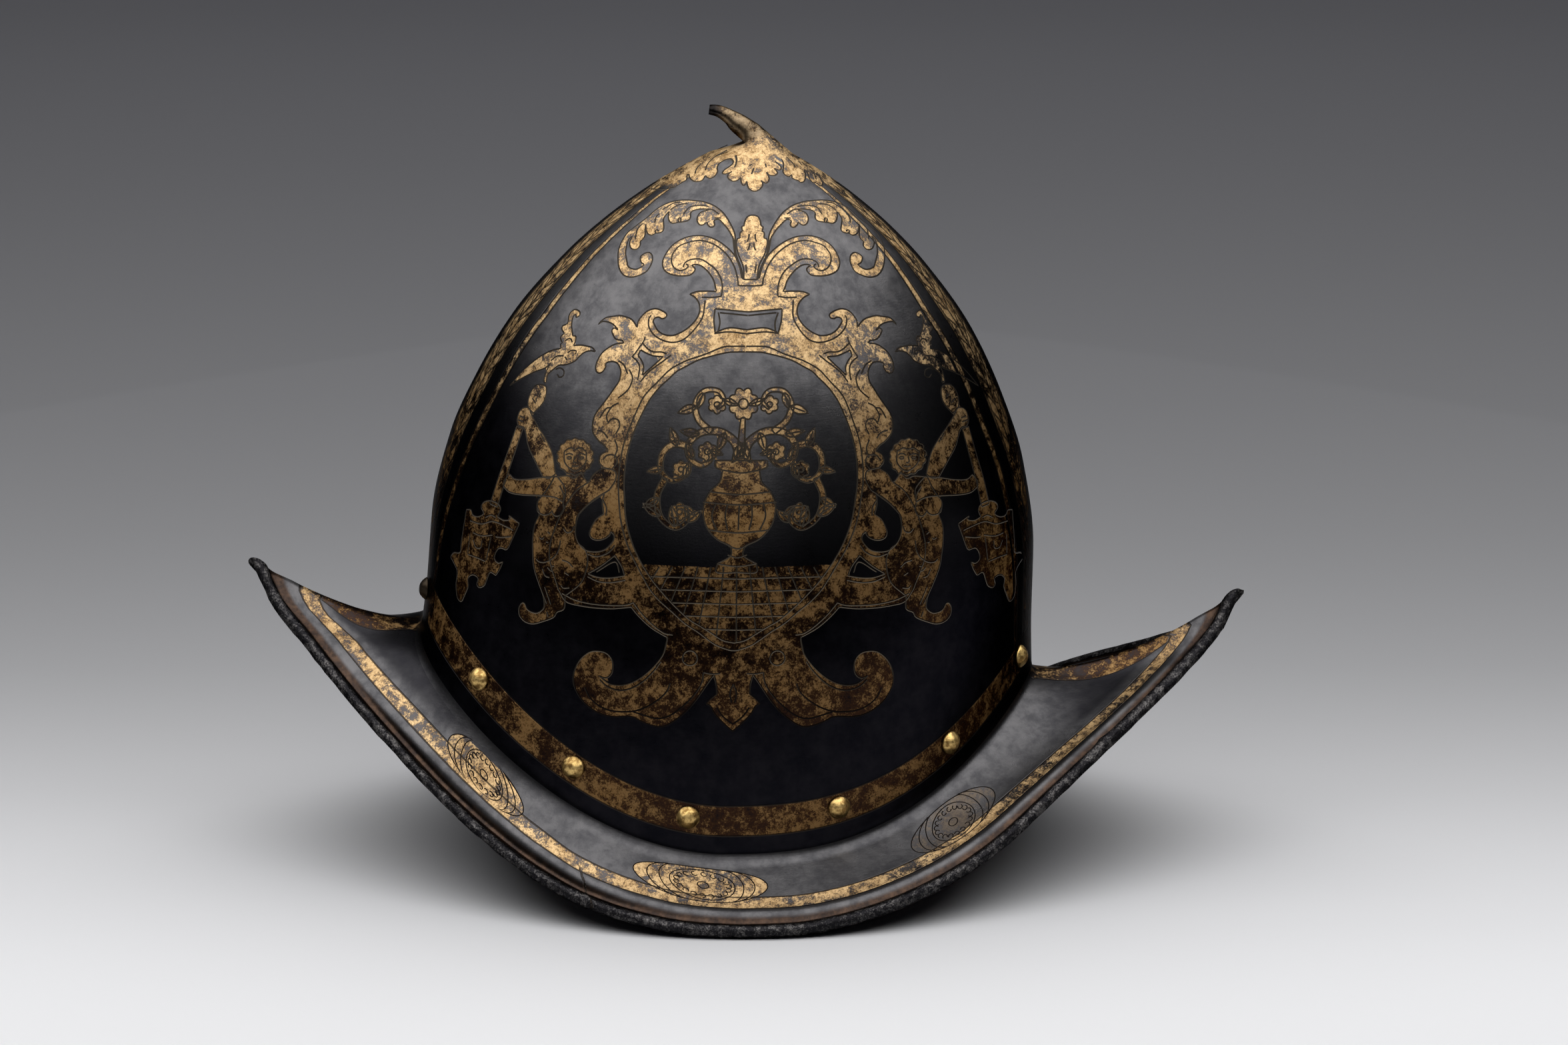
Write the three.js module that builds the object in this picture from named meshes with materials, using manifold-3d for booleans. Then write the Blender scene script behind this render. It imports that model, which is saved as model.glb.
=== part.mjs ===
// Morion helmet: one forged steel shell, with its crown, brim, turned edge and stalk, and the
// fourteen brass rivets that once held its lining band.
// Millimetres, +Z up, +X towards the wearer's face, +Y towards the wearer's left hand.
// The helmet rests on the lowest stretch of its brim, one side on each hand, tips in the air.
import * as THREE from "three";
import { mergeVertices } from "three/addons/utils/BufferGeometryUtils.js";
import Module from "manifold-3d";

const wasm = await Module();
wasm.setup();

// Crown, measured where it meets the brim
const crownLength = 228.4;
const crownWidth = 184;
const crownHeight = 247;
const apexForward = 9.5;
const frontKeelAtBase = 0.1;
const rearKeelAtBase = 0;
const keelAtApex = 0.24;
const rearBluntness = 0.3;
const bluntUpTo = 0.45;

// Line where crown and brim meet: both ends rise above the two sides
const jointRiseFront = 43.5;
const jointRiseRear = 61.5;

// Brim
const sideReach = 30;
const frontReach = 78.2;
const rearReach = 63.9;
const sideDrop = 18;
const frontTipRise = 32.2;
const rearTipRise = 25.8;
const frontHollow = 7.3;
const rearHollow = 3.9;
const sideHollow = 0.8;
const tipSharpness = 0.6;

// Plate and the turned edge of the brim
const plate = 1.2;
const cornerRadius = 3.5;
const beadDiameter = 4.6;
const grooveWidth = 6;
const grooveDepth = 1.1;
const stripWidth = 4.6;
const crestRise = 0.7;

// Stalk forged on the apex, curling to the rear
const stalkReach = 15.5;
const stalkRise = 9.3;
const stalkRoot = 8.4;
const stalkTip = 3.6;
const stalkHollow = 1.2;

// Rivets of the lining band
const rivetLine = 14.7;
const rearLineLift = 0.3;
const headDiameter = 8.4;
const headRise = 3;
const shankDiameter = 3.4;
const tailDiameter = 5.4;
const tailRise = 1.1;
const fitGap = 0.3;

// How finely the forms are divided
const columns = 64;
const stalkSides = 12;
const rivetSides = 12;
const holeSides = 12;

// Half length and half width of the crown, as shares of those at its base, against height
const crownForm = [
  { up: 0, length: 1, width: 1 },
  { up: 0.1, length: 0.988, width: 1.005 },
  { up: 0.24, length: 0.98, width: 0.995 },
  { up: 0.4, length: 0.929, width: 0.955 },
  { up: 0.52, length: 0.851, width: 0.885 },
  { up: 0.65, length: 0.733, width: 0.775 },
  { up: 0.77, length: 0.571, width: 0.615 },
  { up: 0.835, length: 0.458, width: 0.5 },
  { up: 0.895, length: 0.33, width: 0.365 },
  { up: 0.93, length: 0.24, width: 0.268 },
  { up: 0.96, length: 0.152, width: 0.172 },
  { up: 0.985, length: 0.068, width: 0.078 },
  { up: 1, length: 0, width: 0 },
];

// Height of the rim, as a share of the tip's, against the share of the way to the tip
const rimForm = [
  { out: 0, front: 0, rear: 0 },
  { out: 0.1, front: 0.006, rear: 0.005 },
  { out: 0.2, front: 0.034, rear: 0.025 },
  { out: 0.3, front: 0.082, rear: 0.061 },
  { out: 0.4, front: 0.15, rear: 0.128 },
  { out: 0.5, front: 0.25, rear: 0.222 },
  { out: 0.6, front: 0.388, rear: 0.338 },
  { out: 0.7, front: 0.522, rear: 0.472 },
  { out: 0.8, front: 0.645, rear: 0.614 },
  { out: 0.9, front: 0.775, rear: 0.773 },
  { out: 0.96, front: 0.874, rear: 0.872 },
  { out: 1, front: 1, rear: 1 },
];

// Middle line of the stalk, as shares of its reach and rise, and how far it has tapered
const stalkForm = [
  { back: 0, up: 0.05, taper: 0 },
  { back: 0.33, up: 0.46, taper: 0.21 },
  { back: 0.53, up: 0.72, taper: 0.6 },
  { back: 0.82, up: 0.96, taper: 0.86 },
  { back: 1, up: 1, taper: 1 },
];

// Bearings of the rivets in degrees, counter-clockwise from the front
const rivetBearings = [-173, -143.5, -119.5, -97, -67, -40.5, -13, 13, 39, 65.5, 91, 115, 137.5, 158];

const steel = new THREE.MeshStandardMaterial({ color: 0x1d1c1e, roughness: 0.42, metalness: 0.9 });
const brass = new THREE.MeshStandardMaterial({ color: 0xa07c34, roughness: 0.35, metalness: 1 });

// Smooth curve through the rows of a table, with no overshoot between them
function readTable(table, along, column, place) {
  const last = table.length - 1;
  const slope = (row) =>
    (table[row + 1][column] - table[row][column]) / (table[row + 1][along] - table[row][along]);
  const tangent = (row) => {
    if (row === 0) return slope(0);
    if (row === last) return slope(last - 1);
    const product = slope(row - 1) * slope(row);
    return product > 0 ? (2 * product) / (slope(row - 1) + slope(row)) : 0;
  };
  let row = 0;
  while (row < last - 1 && place > table[row + 1][along]) row += 1;
  const step = table[row + 1][along] - table[row][along];
  const t = (place - table[row][along]) / step;
  return (
    (1 + 2 * t) * (1 - t) ** 2 * table[row][column] +
    t * (1 - t) ** 2 * step * tangent(row) +
    t * t * (3 - 2 * t) * table[row + 1][column] +
    t * t * (t - 1) * step * tangent(row + 1)
  );
}

// Share of the half length at a bearing: a cosine, with a crease at front and rear
function creased(bearing, crease) {
  const along = Math.cos(bearing);
  return (1 - crease) * along + Math.sign(along) * crease * (1 - Math.abs(Math.sin(bearing)));
}

// Height of the line between crown and brim
function jointHeight(bearing) {
  const along = Math.cos(bearing);
  const rise = along > 0 ? jointRiseFront * along ** 3 : jointRiseRear * (-along) ** 1.9;
  return sideDrop + rise;
}

const crownMiddle = (rearReach - frontReach) / 2;
const apexHeight = sideDrop + crownHeight;

// A point of the crown's outside, from 0 at the brim to 1 at the apex
function crownPoint(bearing, up) {
  const behind = Math.cos(bearing) < 0;
  const keelAtBase = behind ? rearKeelAtBase : frontKeelAtBase;
  const crease = keelAtBase + (keelAtApex - keelAtBase) * up;
  const bluntness = behind ? rearBluntness * Math.max(1 - up / bluntUpTo, 0) ** 2 : 0;
  const across = Math.sin(bearing);
  const length = (crownLength / 2) * readTable(crownForm, "up", "length", up);
  const width = (crownWidth / 2) * readTable(crownForm, "up", "width", up);
  const low = jointHeight(bearing);
  return new THREE.Vector3(
    crownMiddle + apexForward * up + length * creased(bearing, crease),
    width * Math.sign(across) * Math.abs(across) ** (1 - bluntness),
    low + up * (apexHeight - low)
  );
}

// A point of the rim, the outermost line of the brim: pointed at both ends, low at the sides
function rimPoint(bearing) {
  const along = creased(bearing, tipSharpness);
  const out = Math.min(Math.abs(along), 1);
  const end = along > 0 ? "front" : "rear";
  const tip = sideDrop + (along > 0 ? jointRiseFront + frontTipRise : jointRiseRear + rearTipRise);
  return new THREE.Vector3(
    ((crownLength + frontReach + rearReach) / 2) * along,
    (crownWidth / 2 + sideReach) * Math.sign(Math.sin(bearing)) * (1 - out ** 2.2) ** 1.2,
    tip * readTable(rimForm, "out", end, out)
  );
}

// A point of the brim's top, from 0 at the crown to 1 at the rim: a ray that sags between them
function brimPoint(bearing, out) {
  const joint = crownPoint(bearing, 0);
  const rim = rimPoint(bearing);
  const along = Math.cos(bearing);
  const tipHollow = along > 0 ? frontHollow : rearHollow;
  const sag = sideHollow + (tipHollow - sideHollow) * along ** 4;
  const middle = joint.clone().add(rim).multiplyScalar(0.5);
  middle.z -= 2 * sag;
  return joint
    .multiplyScalar((1 - out) ** 2)
    .addScaledVector(middle, 2 * out * (1 - out))
    .addScaledVector(rim, out ** 2);
}

// Outward normal of a surface, taken as the mean of both sides of a crease
function normalOf(surface, bearing, place) {
  const turn = 1e-4;
  const step = place > 0.5 ? -1e-3 : 1e-3;
  const here = surface(bearing, place);
  const across = surface(bearing, place + step).sub(here).multiplyScalar(Math.sign(step));
  const normal = new THREE.Vector3();
  for (const side of [-1, 1]) {
    const along = surface(bearing + side * turn, place).sub(here).multiplyScalar(side);
    normal.add(along.cross(across).normalize());
  }
  return normal.normalize();
}

const crownNormal = (bearing, up) => normalOf(crownPoint, bearing, up);
const brimNormal = (bearing, out) => normalOf(brimPoint, bearing, out).negate();

// How much longer a ray is than the distance that it covers square to a line
function slant(line, ray, bearing) {
  const turn = 1e-4;
  const tangent = line(bearing + turn).sub(line(bearing)).normalize();
  return 1 / Math.max(tangent.cross(ray).length(), 0.4);
}

// Share of the crown's height at a distance up the wall, square to the line at its foot
function upTheWall(bearing, distance) {
  const foot = (turned) => crownPoint(turned, 0);
  const ray = crownPoint(bearing, 0.05).sub(crownPoint(bearing, 0)).normalize();
  const length = distance * slant(foot, ray, bearing);
  return length / (apexHeight - jointHeight(bearing));
}

// Share of the brim's ray at a distance from one of its ends, square to the line there
function offTheJoint(bearing, distance) {
  const foot = (turned) => crownPoint(turned, 0);
  const span = rimPoint(bearing).sub(crownPoint(bearing, 0));
  return (distance * slant(foot, span.clone().normalize(), bearing)) / span.length();
}

function offTheRim(bearing, distance) {
  const span = rimPoint(bearing).sub(crownPoint(bearing, 0));
  return 1 - (distance * slant(rimPoint, span.clone().normalize(), bearing)) / span.length();
}

// A closed skin through rings of points, with a point at each end
function closedSkin(firstPole, rings, lastPole) {
  const count = rings[0].length;
  const points = [firstPole, ...rings.flat(), lastPole];
  const corner = (ring, column) => 1 + ring * count + (column % count);
  const faces = [];
  for (let column = 0; column < count; column += 1) {
    faces.push(0, corner(0, column), corner(0, column + 1));
    for (let ring = 0; ring < rings.length - 1; ring += 1) {
      const [a, b] = [corner(ring, column), corner(ring, column + 1)];
      const [c, d] = [corner(ring + 1, column), corner(ring + 1, column + 1)];
      faces.push(a, c, d, a, d, b);
    }
    const end = rings.length - 1;
    faces.push(corner(end, column), points.length - 1, corner(end, column + 1));
  }
  const geometry = new THREE.BufferGeometry().setFromPoints(points);
  geometry.setIndex(faces);
  return geometry;
}

function solidOf(geometry) {
  const bare = geometry.clone();
  bare.deleteAttribute("normal");
  bare.deleteAttribute("uv");
  const merged = mergeVertices(bare, 1e-4);
  const vertProperties = new Float32Array(merged.attributes.position.array);
  const triVerts = new Uint32Array(merged.index.array);
  return new wasm.Manifold(new wasm.Mesh({ numProp: 3, vertProperties, triVerts }));
}

function geometryOf(solid) {
  const mesh = solid.getMesh();
  const geometry = new THREE.BufferGeometry();
  geometry.setAttribute("position", new THREE.BufferAttribute(mesh.vertProperties, 3));
  geometry.setIndex(new THREE.BufferAttribute(mesh.triVerts, 1));
  geometry.computeVertexNormals();
  return geometry;
}

function ringOf(count, pointAt) {
  return Array.from({ length: count }, (_, column) => pointAt((column / count) * 2 * Math.PI));
}

// Rows of the plate between crown and edge, each a place on the top surface with its normal
const crownRow = (up) => (bearing) => ({
  point: crownPoint(bearing, up),
  normal: crownNormal(bearing, up),
});

// Rounded corner between wall and brim, from 0 on the wall to 1 on the brim
const cornerRow = (share) => (bearing) => {
  const up = upTheWall(bearing, cornerRadius);
  const out = offTheJoint(bearing, cornerRadius);
  const point = crownPoint(bearing, up)
    .multiplyScalar((1 - share) ** 2)
    .addScaledVector(crownPoint(bearing, 0), 2 * share * (1 - share))
    .addScaledVector(brimPoint(bearing, out), share ** 2);
  const normal = crownNormal(bearing, up).multiplyScalar(1 - share);
  return { point, normal: normal.addScaledVector(brimNormal(bearing, out), share).normalize() };
};

const edgeWidth = beadDiameter + grooveWidth + stripWidth;

// Plain field of the brim, from 0 at the rounded corner to 1 at the edge's raised strip
const fieldRow = (share) => (bearing) => {
  const from = offTheJoint(bearing, cornerRadius);
  const to = offTheRim(bearing, edgeWidth);
  const out = from + (to - from) * share;
  return { point: brimPoint(bearing, out), normal: brimNormal(bearing, out) };
};

// A line of the edge at a distance in from the rim and a rise above the field
const edgeRow = (inward, rise) => (bearing) => {
  const out = offTheRim(bearing, inward);
  const normal = brimNormal(bearing, out);
  return { point: brimPoint(bearing, out).addScaledVector(normal, rise), normal };
};

const liftedRing = (row, lift) =>
  ringOf(columns, (bearing) => {
    const { point, normal } = row(bearing);
    return point.addScaledVector(normal, lift);
  });

function forgedPlate() {
  const outsideUps = [0.99, 0.975, 0.955, 0.925, 0.885, 0.84, 0.785, 0.72, 0.65, 0.575, 0.5];
  outsideUps.push(0.425, 0.35, 0.275, 0.2, 0.13);
  const insideUps = [0.13, 0.22, 0.32, 0.42, 0.52, 0.62, 0.71, 0.79, 0.86, 0.92, 0.965];
  const cornerShares = [0, 0.35, 0.65, 1];
  const fieldShares = [0.33, 0.67, 1];
  const beadRadius = beadDiameter / 2;
  const beadMiddle = -0.4 * beadRadius;
  const crestAt = beadDiameter + grooveWidth;
  const grooveAt = beadDiameter + 0.45 * grooveWidth;
  const beadAngles = [40, 85, 130, 175, 220, 265, 310];
  const crown = outsideUps.map((up) => liftedRing(crownRow(up), 0));
  const corner = cornerShares.map((share) => liftedRing(cornerRow(share), 0));
  const field = fieldShares.map((share) => liftedRing(fieldRow(share), 0));
  const edge = [
    liftedRing(edgeRow(crestAt + 0.25 * stripWidth, 0.5 * crestRise), 0),
    liftedRing(edgeRow(crestAt, crestRise), 0),
    liftedRing(edgeRow(crestAt - 0.2 * grooveWidth, -0.5 * grooveDepth), 0),
    liftedRing(edgeRow(grooveAt, -grooveDepth), 0),
  ];
  const bead = beadAngles.map((degrees) => {
    const angle = THREE.MathUtils.degToRad(degrees);
    const inward = beadRadius * (1 + Math.cos(angle));
    return liftedRing(edgeRow(inward, beadMiddle + beadRadius * Math.sin(angle)), 0);
  });
  const underEdge = [
    liftedRing(edgeRow(grooveAt, -grooveDepth), -plate),
    liftedRing(edgeRow(crestAt, crestRise), -plate),
  ];
  const underField = [1, 0.5].map((share) => liftedRing(fieldRow(share), -plate));
  const underCorner = [1, 0.5, 0].map((share) => liftedRing(cornerRow(share), -plate));
  const inside = insideUps.map((up) => liftedRing(crownRow(up), -plate));
  const apex = crownPoint(0, 1);
  const innerApex = apex.clone().setZ(apexHeight - 1.2 * plate);
  const outside = [...crown, ...corner, ...field, ...edge, ...bead];
  return closedSkin(apex, [...outside, ...underEdge, ...underField, ...underCorner, ...inside], innerApex);
}

// Stalk: rings along a curved middle line, rooted in the middle of the plate, end hollowed
function stalkSkin() {
  const apex = crownPoint(0, 1);
  const rootUp = 0.984;
  const root = ringOf(stalkSides, (bearing) => {
    const normal = crownNormal(bearing, rootUp);
    return crownPoint(bearing, rootUp).addScaledVector(normal, -plate / 2);
  });
  const middleAt = (share) =>
    new THREE.Vector3(
      apex.x - stalkReach * readTable(stalkForm, "taper", "back", share),
      0,
      apexHeight + stalkRise * readTable(stalkForm, "taper", "up", share)
    );
  const ringAt = (share, radius, sink) => {
    const ahead = middleAt(Math.min(share + 0.02, 1)).sub(middleAt(Math.max(share - 0.02, 0)));
    const heading = ahead.normalize();
    const side = new THREE.Vector3(0, 1, 0);
    const forward = new THREE.Vector3().crossVectors(side, heading);
    const middle = middleAt(share).addScaledVector(heading, -sink);
    return ringOf(stalkSides, (turn) =>
      middle
        .clone()
        .addScaledVector(forward, radius * Math.cos(turn))
        .addScaledVector(side, radius * Math.sin(turn))
    );
  };
  const radiusAt = (taper) => (stalkRoot + (stalkTip - stalkRoot) * taper) / 2;
  const lengthRings = stalkForm.map(({ taper }) => ringAt(taper, radiusAt(taper), 0));
  const mouth = ringAt(1, 0.6 * radiusAt(1), 0);
  const bottom = middleAt(1).addScaledVector(middleAt(1).sub(middleAt(0.98)).normalize(), -stalkHollow);
  const rings = [mouth, ...lengthRings.reverse(), root];
  return closedSkin(bottom, rings, apex.clone().setZ(apexHeight - 0.6 * plate));
}

// Share of the crown's height at which the lining band's line runs, higher towards the rear
function rivetUp(bearing) {
  const behind = Math.max(-Math.cos(bearing), 0);
  return (rivetLine * (1 + rearLineLift * behind ** 2)) / (apexHeight - jointHeight(bearing));
}

// Where a rivet sits: the place on the crown's outside, turned so that +Z points out of it
function rivetSeat(degrees) {
  const bearing = THREE.MathUtils.degToRad(degrees);
  const up = rivetUp(bearing);
  const seat = new THREE.Object3D();
  seat.position.copy(crownPoint(bearing, up));
  seat.quaternion.setFromUnitVectors(new THREE.Vector3(0, 0, 1), crownNormal(bearing, up));
  seat.updateMatrix();
  return seat;
}

// Rivet: domed head outside, shank through the plate, peened tail inside
function rivetGeometry() {
  const head = headDiameter / 2;
  const shank = shankDiameter / 2;
  const tail = tailDiameter / 2;
  const under = -plate - fitGap;
  const profile = [
    [0, under - tailRise],
    [0.7 * tail, under - tailRise],
    [tail, under - 0.4 * tailRise],
    [tail, under],
    [shank, under],
    [shank, fitGap],
    [0.96 * head, fitGap],
    [head, fitGap + 0.18 * headRise],
    [0.86 * head, fitGap + 0.58 * headRise],
    [0.52 * head, fitGap + 0.88 * headRise],
    [0, fitGap + headRise],
  ];
  const points = profile.map(([radius, height]) => new THREE.Vector2(radius, height));
  return new THREE.LatheGeometry(points, rivetSides).rotateX(Math.PI / 2);
}

function helmetShell() {
  const holeDepth = 4 * (plate + fitGap);
  const hole = new THREE.CylinderGeometry(
    shankDiameter / 2 + fitGap,
    shankDiameter / 2 + fitGap,
    holeDepth,
    holeSides
  ).rotateX(Math.PI / 2);
  let shell = solidOf(forgedPlate()).add(solidOf(stalkSkin()));
  for (const degrees of rivetBearings) {
    const drill = hole.clone().applyMatrix4(rivetSeat(degrees).matrix);
    shell = shell.subtract(solidOf(drill));
  }
  const mesh = new THREE.Mesh(geometryOf(shell), steel);
  mesh.name = "helmet_shell";
  return mesh;
}

function rivets() {
  const geometry = rivetGeometry();
  return rivetBearings.map((degrees, index) => {
    const mesh = new THREE.Mesh(geometry, brass);
    const seat = rivetSeat(degrees);
    mesh.position.copy(seat.position);
    mesh.quaternion.copy(seat.quaternion);
    mesh.name = `rivet_${String(index + 1).padStart(2, "0")}`;
    return mesh;
  });
}

// Origin at the middle of the footprint, on the surface that the helmet rests on
function standOnFloor(group) {
  group.updateMatrixWorld(true);
  const box = new THREE.Box3().setFromObject(group, true);
  const middle = box.getCenter(new THREE.Vector3());
  group.position.set(-middle.x, -middle.y, -box.min.z);
  return group;
}

const helmet = new THREE.Group();
helmet.name = "morion_helmet";
helmet.add(helmetShell(), ...rivets());
standOnFloor(helmet);

export default helmet;
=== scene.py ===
import math
from types import SimpleNamespace

import bpy
import numpy as np
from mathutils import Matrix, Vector


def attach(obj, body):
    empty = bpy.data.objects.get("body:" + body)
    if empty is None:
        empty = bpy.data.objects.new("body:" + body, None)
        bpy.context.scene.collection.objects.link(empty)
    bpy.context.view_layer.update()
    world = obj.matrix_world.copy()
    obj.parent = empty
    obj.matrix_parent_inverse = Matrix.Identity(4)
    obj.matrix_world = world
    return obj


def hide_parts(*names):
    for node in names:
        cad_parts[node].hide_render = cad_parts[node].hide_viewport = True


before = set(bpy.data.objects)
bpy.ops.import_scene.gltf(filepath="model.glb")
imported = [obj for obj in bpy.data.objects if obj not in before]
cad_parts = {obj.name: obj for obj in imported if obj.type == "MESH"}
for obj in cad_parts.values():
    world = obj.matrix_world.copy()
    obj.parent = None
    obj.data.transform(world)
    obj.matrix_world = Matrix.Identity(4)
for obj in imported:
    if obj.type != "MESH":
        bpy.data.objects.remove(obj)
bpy.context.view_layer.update()  # the helmet shell and its fourteen rivets, in the part's own frame


MM = 0.001
RNG = np.random.default_rng(11)
TINY = 1e-4  # step in radians or in shares, for slopes

# Measures of the forged shape in millimetres
CROWN_LENGTH = 228.4
CROWN_WIDTH = 184.0
CROWN_HEIGHT = 247.0
APEX_FORWARD = 9.5
FRONT_KEEL = 0.1
REAR_KEEL = 0.0
APEX_KEEL = 0.24
REAR_BLUNTNESS = 0.3
BLUNT_UP_TO = 0.45
SIDE_DROP = 18.0
JOINT_RISE_FRONT = 43.5
JOINT_RISE_REAR = 61.5
SIDE_REACH = 30.0
FRONT_REACH = 78.2
REAR_REACH = 63.9
FRONT_TIP_RISE = 32.2
REAR_TIP_RISE = 25.8
FRONT_HOLLOW = 7.3
REAR_HOLLOW = 3.9
SIDE_HOLLOW = 0.8
TIP_SHARPNESS = 0.6
PLATE = 1.2
CORNER_RADIUS = 3.5
BEAD = 4.6
GROOVE = 6.0
GROOVE_DEPTH = 1.1
STRIP = 4.6
CREST = 0.7
STALK_REACH = 15.5
STALK_RISE = 9.3
STALK_ROOT = 8.4
STALK_TIP = 3.6
RIVET_LINE = 14.7
REAR_LINE_LIFT = 0.3
APEX_HEIGHT = SIDE_DROP + CROWN_HEIGHT
CROWN_MIDDLE = (REAR_REACH - FRONT_REACH) / 2
STRIP_END = BEAD + GROOVE + STRIP
VIEW_RISE = math.radians(15)

# Tables of form: place, then the shares that belong to it
CROWN_FORM = np.array([
    (0, 1, 1), (0.1, 0.988, 1.005), (0.24, 0.98, 0.995), (0.4, 0.929, 0.955), (0.52, 0.851, 0.885),
    (0.65, 0.733, 0.775), (0.77, 0.571, 0.615), (0.835, 0.458, 0.5), (0.895, 0.33, 0.365),
    (0.93, 0.24, 0.268), (0.96, 0.152, 0.172), (0.985, 0.068, 0.078), (1, 0, 0),
])
RIM_FORM = np.array([
    (0, 0, 0), (0.1, 0.006, 0.005), (0.2, 0.034, 0.025), (0.3, 0.082, 0.061), (0.4, 0.15, 0.128),
    (0.5, 0.25, 0.222), (0.6, 0.388, 0.338), (0.7, 0.522, 0.472), (0.8, 0.645, 0.614),
    (0.9, 0.775, 0.773), (0.96, 0.874, 0.872), (1, 1, 1),
])
STALK_FORM = np.array([(0, 0.05, 0), (0.33, 0.46, 0.21), (0.53, 0.72, 0.6), (0.82, 0.96, 0.86), (1, 1, 1)])
RIVET_BEARINGS = (-173, -143.5, -119.5, -97, -67, -40.5, -13, 13, 39, 65.5, 91, 115, 137.5, 158)


def read_table(places, values, at):
    """Monotone cubic through a table: harmonic mean tangents inside, end slopes at the ends."""
    steps = np.diff(places)
    slopes = np.diff(values) / steps
    before, after = slopes[:-1], slopes[1:]
    product = before * after
    total = np.where(product > 0, before + after, 1)
    inner = np.where(product > 0, 2 * product / total, 0)
    tangents = np.concatenate([slopes[:1], inner, slopes[-1:]])
    at = np.asarray(at, float)
    row = np.clip(np.searchsorted(places, at, side="left") - 1, 0, len(steps) - 1)
    step = steps[row]
    t = (at - places[row]) / step
    return (
        (1 + 2 * t) * (1 - t) ** 2 * values[row]
        + t * (1 - t) ** 2 * step * tangents[row]
        + t * t * (3 - 2 * t) * values[row + 1]
        + t * t * (t - 1) * step * tangents[row + 1]
    )


def creased(bearing, crease):
    """A cosine with a crease at front and rear."""
    along = np.cos(bearing)
    return (1 - crease) * along + np.sign(along) * crease * (1 - np.abs(np.sin(bearing)))


def joint_height(bearing):
    """Height of the line between crown and brim: cubed cosine in front, power 1.9 behind."""
    along = np.cos(bearing)
    ahead = JOINT_RISE_FRONT * np.maximum(along, 0) ** 3
    behind = JOINT_RISE_REAR * np.maximum(-along, 0) ** 1.9
    return SIDE_DROP + ahead + behind


def crown_point(bearing, up):
    """The crown's outside, from 0 at the brim to 1 at the apex: creased ovals that lean forward."""
    bearing, up = np.broadcast_arrays(np.asarray(bearing, float), np.asarray(up, float))
    behind = np.cos(bearing) < 0
    keel = np.where(behind, REAR_KEEL, FRONT_KEEL)
    crease = keel + (APEX_KEEL - keel) * up
    blunt = np.where(behind, REAR_BLUNTNESS * np.maximum(1 - up / BLUNT_UP_TO, 0) ** 2, 0)
    across = np.sin(bearing)
    length = CROWN_LENGTH / 2 * read_table(CROWN_FORM[:, 0], CROWN_FORM[:, 1], up)
    width = CROWN_WIDTH / 2 * read_table(CROWN_FORM[:, 0], CROWN_FORM[:, 2], up)
    low = joint_height(bearing)
    x = CROWN_MIDDLE + APEX_FORWARD * up + length * creased(bearing, crease)
    y = width * np.sign(across) * np.abs(across) ** (1 - blunt)
    return np.stack([x, y, low + up * (APEX_HEIGHT - low)], -1)


def rim_point(bearing):
    """The rim: pointed at both ends, low at the sides, its height read from the rim table."""
    bearing = np.asarray(bearing, float)
    along = creased(bearing, TIP_SHARPNESS)
    out = np.minimum(np.abs(along), 1)
    ahead = along > 0
    tip = SIDE_DROP + np.where(ahead, JOINT_RISE_FRONT + FRONT_TIP_RISE, JOINT_RISE_REAR + REAR_TIP_RISE)
    front = read_table(RIM_FORM[:, 0], RIM_FORM[:, 1], out)
    rear = read_table(RIM_FORM[:, 0], RIM_FORM[:, 2], out)
    x = (CROWN_LENGTH + FRONT_REACH + REAR_REACH) / 2 * along
    y = (CROWN_WIDTH / 2 + SIDE_REACH) * np.sign(np.sin(bearing)) * (1 - out ** 2.2) ** 1.2
    return np.stack([x, y, tip * np.where(ahead, front, rear)], -1)


def brim_point(bearing, out):
    """The brim's top, from 0 at the crown to 1 at the rim: a ray that sags between them."""
    bearing, out = np.broadcast_arrays(np.asarray(bearing, float), np.asarray(out, float))
    joint = crown_point(bearing, 0)
    rim = rim_point(bearing)
    along = np.cos(bearing)
    hollow = np.where(along > 0, FRONT_HOLLOW, REAR_HOLLOW)
    sag = SIDE_HOLLOW + (hollow - SIDE_HOLLOW) * along ** 4
    middle = (joint + rim) / 2 - 2 * sag[..., None] * np.array([0, 0, 1.0])
    share = out[..., None]
    return joint * (1 - share) ** 2 + middle * 2 * share * (1 - share) + rim * share ** 2


def unit(vectors):
    """Vectors brought to length one."""
    return vectors / np.maximum(np.linalg.norm(vectors, axis=-1, keepdims=True), 1e-12)


def normal_of(surface, bearing, place):
    """Outward normal of a surface, the mean of both sides of a crease."""
    bearing, place = np.broadcast_arrays(np.asarray(bearing, float), np.asarray(place, float))
    step = np.where(place > 0.5, -1e-3, 1e-3)
    here = surface(bearing, place)
    across = (surface(bearing, place + step) - here) * np.sign(step)[..., None]
    total = 0
    for side in (-1, 1):
        along = (surface(bearing + side * TINY, place) - here) * side
        total = total + unit(np.cross(along, across))
    return unit(total)


def crown_normal(bearing, up):
    return normal_of(crown_point, bearing, up)


def brim_normal(bearing, out):
    return -normal_of(brim_point, bearing, out)


def slant(line, ray, bearing):
    """How much longer a ray is than the distance that it covers square to a line."""
    tangent = unit(line(bearing + TINY) - line(bearing))
    return 1 / np.maximum(np.linalg.norm(np.cross(tangent, ray), axis=-1), 0.4)


def foot_line(bearing):
    return crown_point(bearing, 0)


def up_the_wall(bearing, distance):
    """Share of the crown's height at a distance up the wall, square to the line at its foot."""
    ray = unit(crown_point(bearing, 0.05) - crown_point(bearing, 0))
    return distance * slant(foot_line, ray, bearing) / (APEX_HEIGHT - joint_height(bearing))


def brim_ray(bearing):
    span = rim_point(bearing) - crown_point(bearing, 0)
    return span, np.linalg.norm(span, axis=-1)


def off_the_joint(bearing, distance):
    span, length = brim_ray(bearing)
    return distance * slant(foot_line, unit(span), bearing) / length


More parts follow.
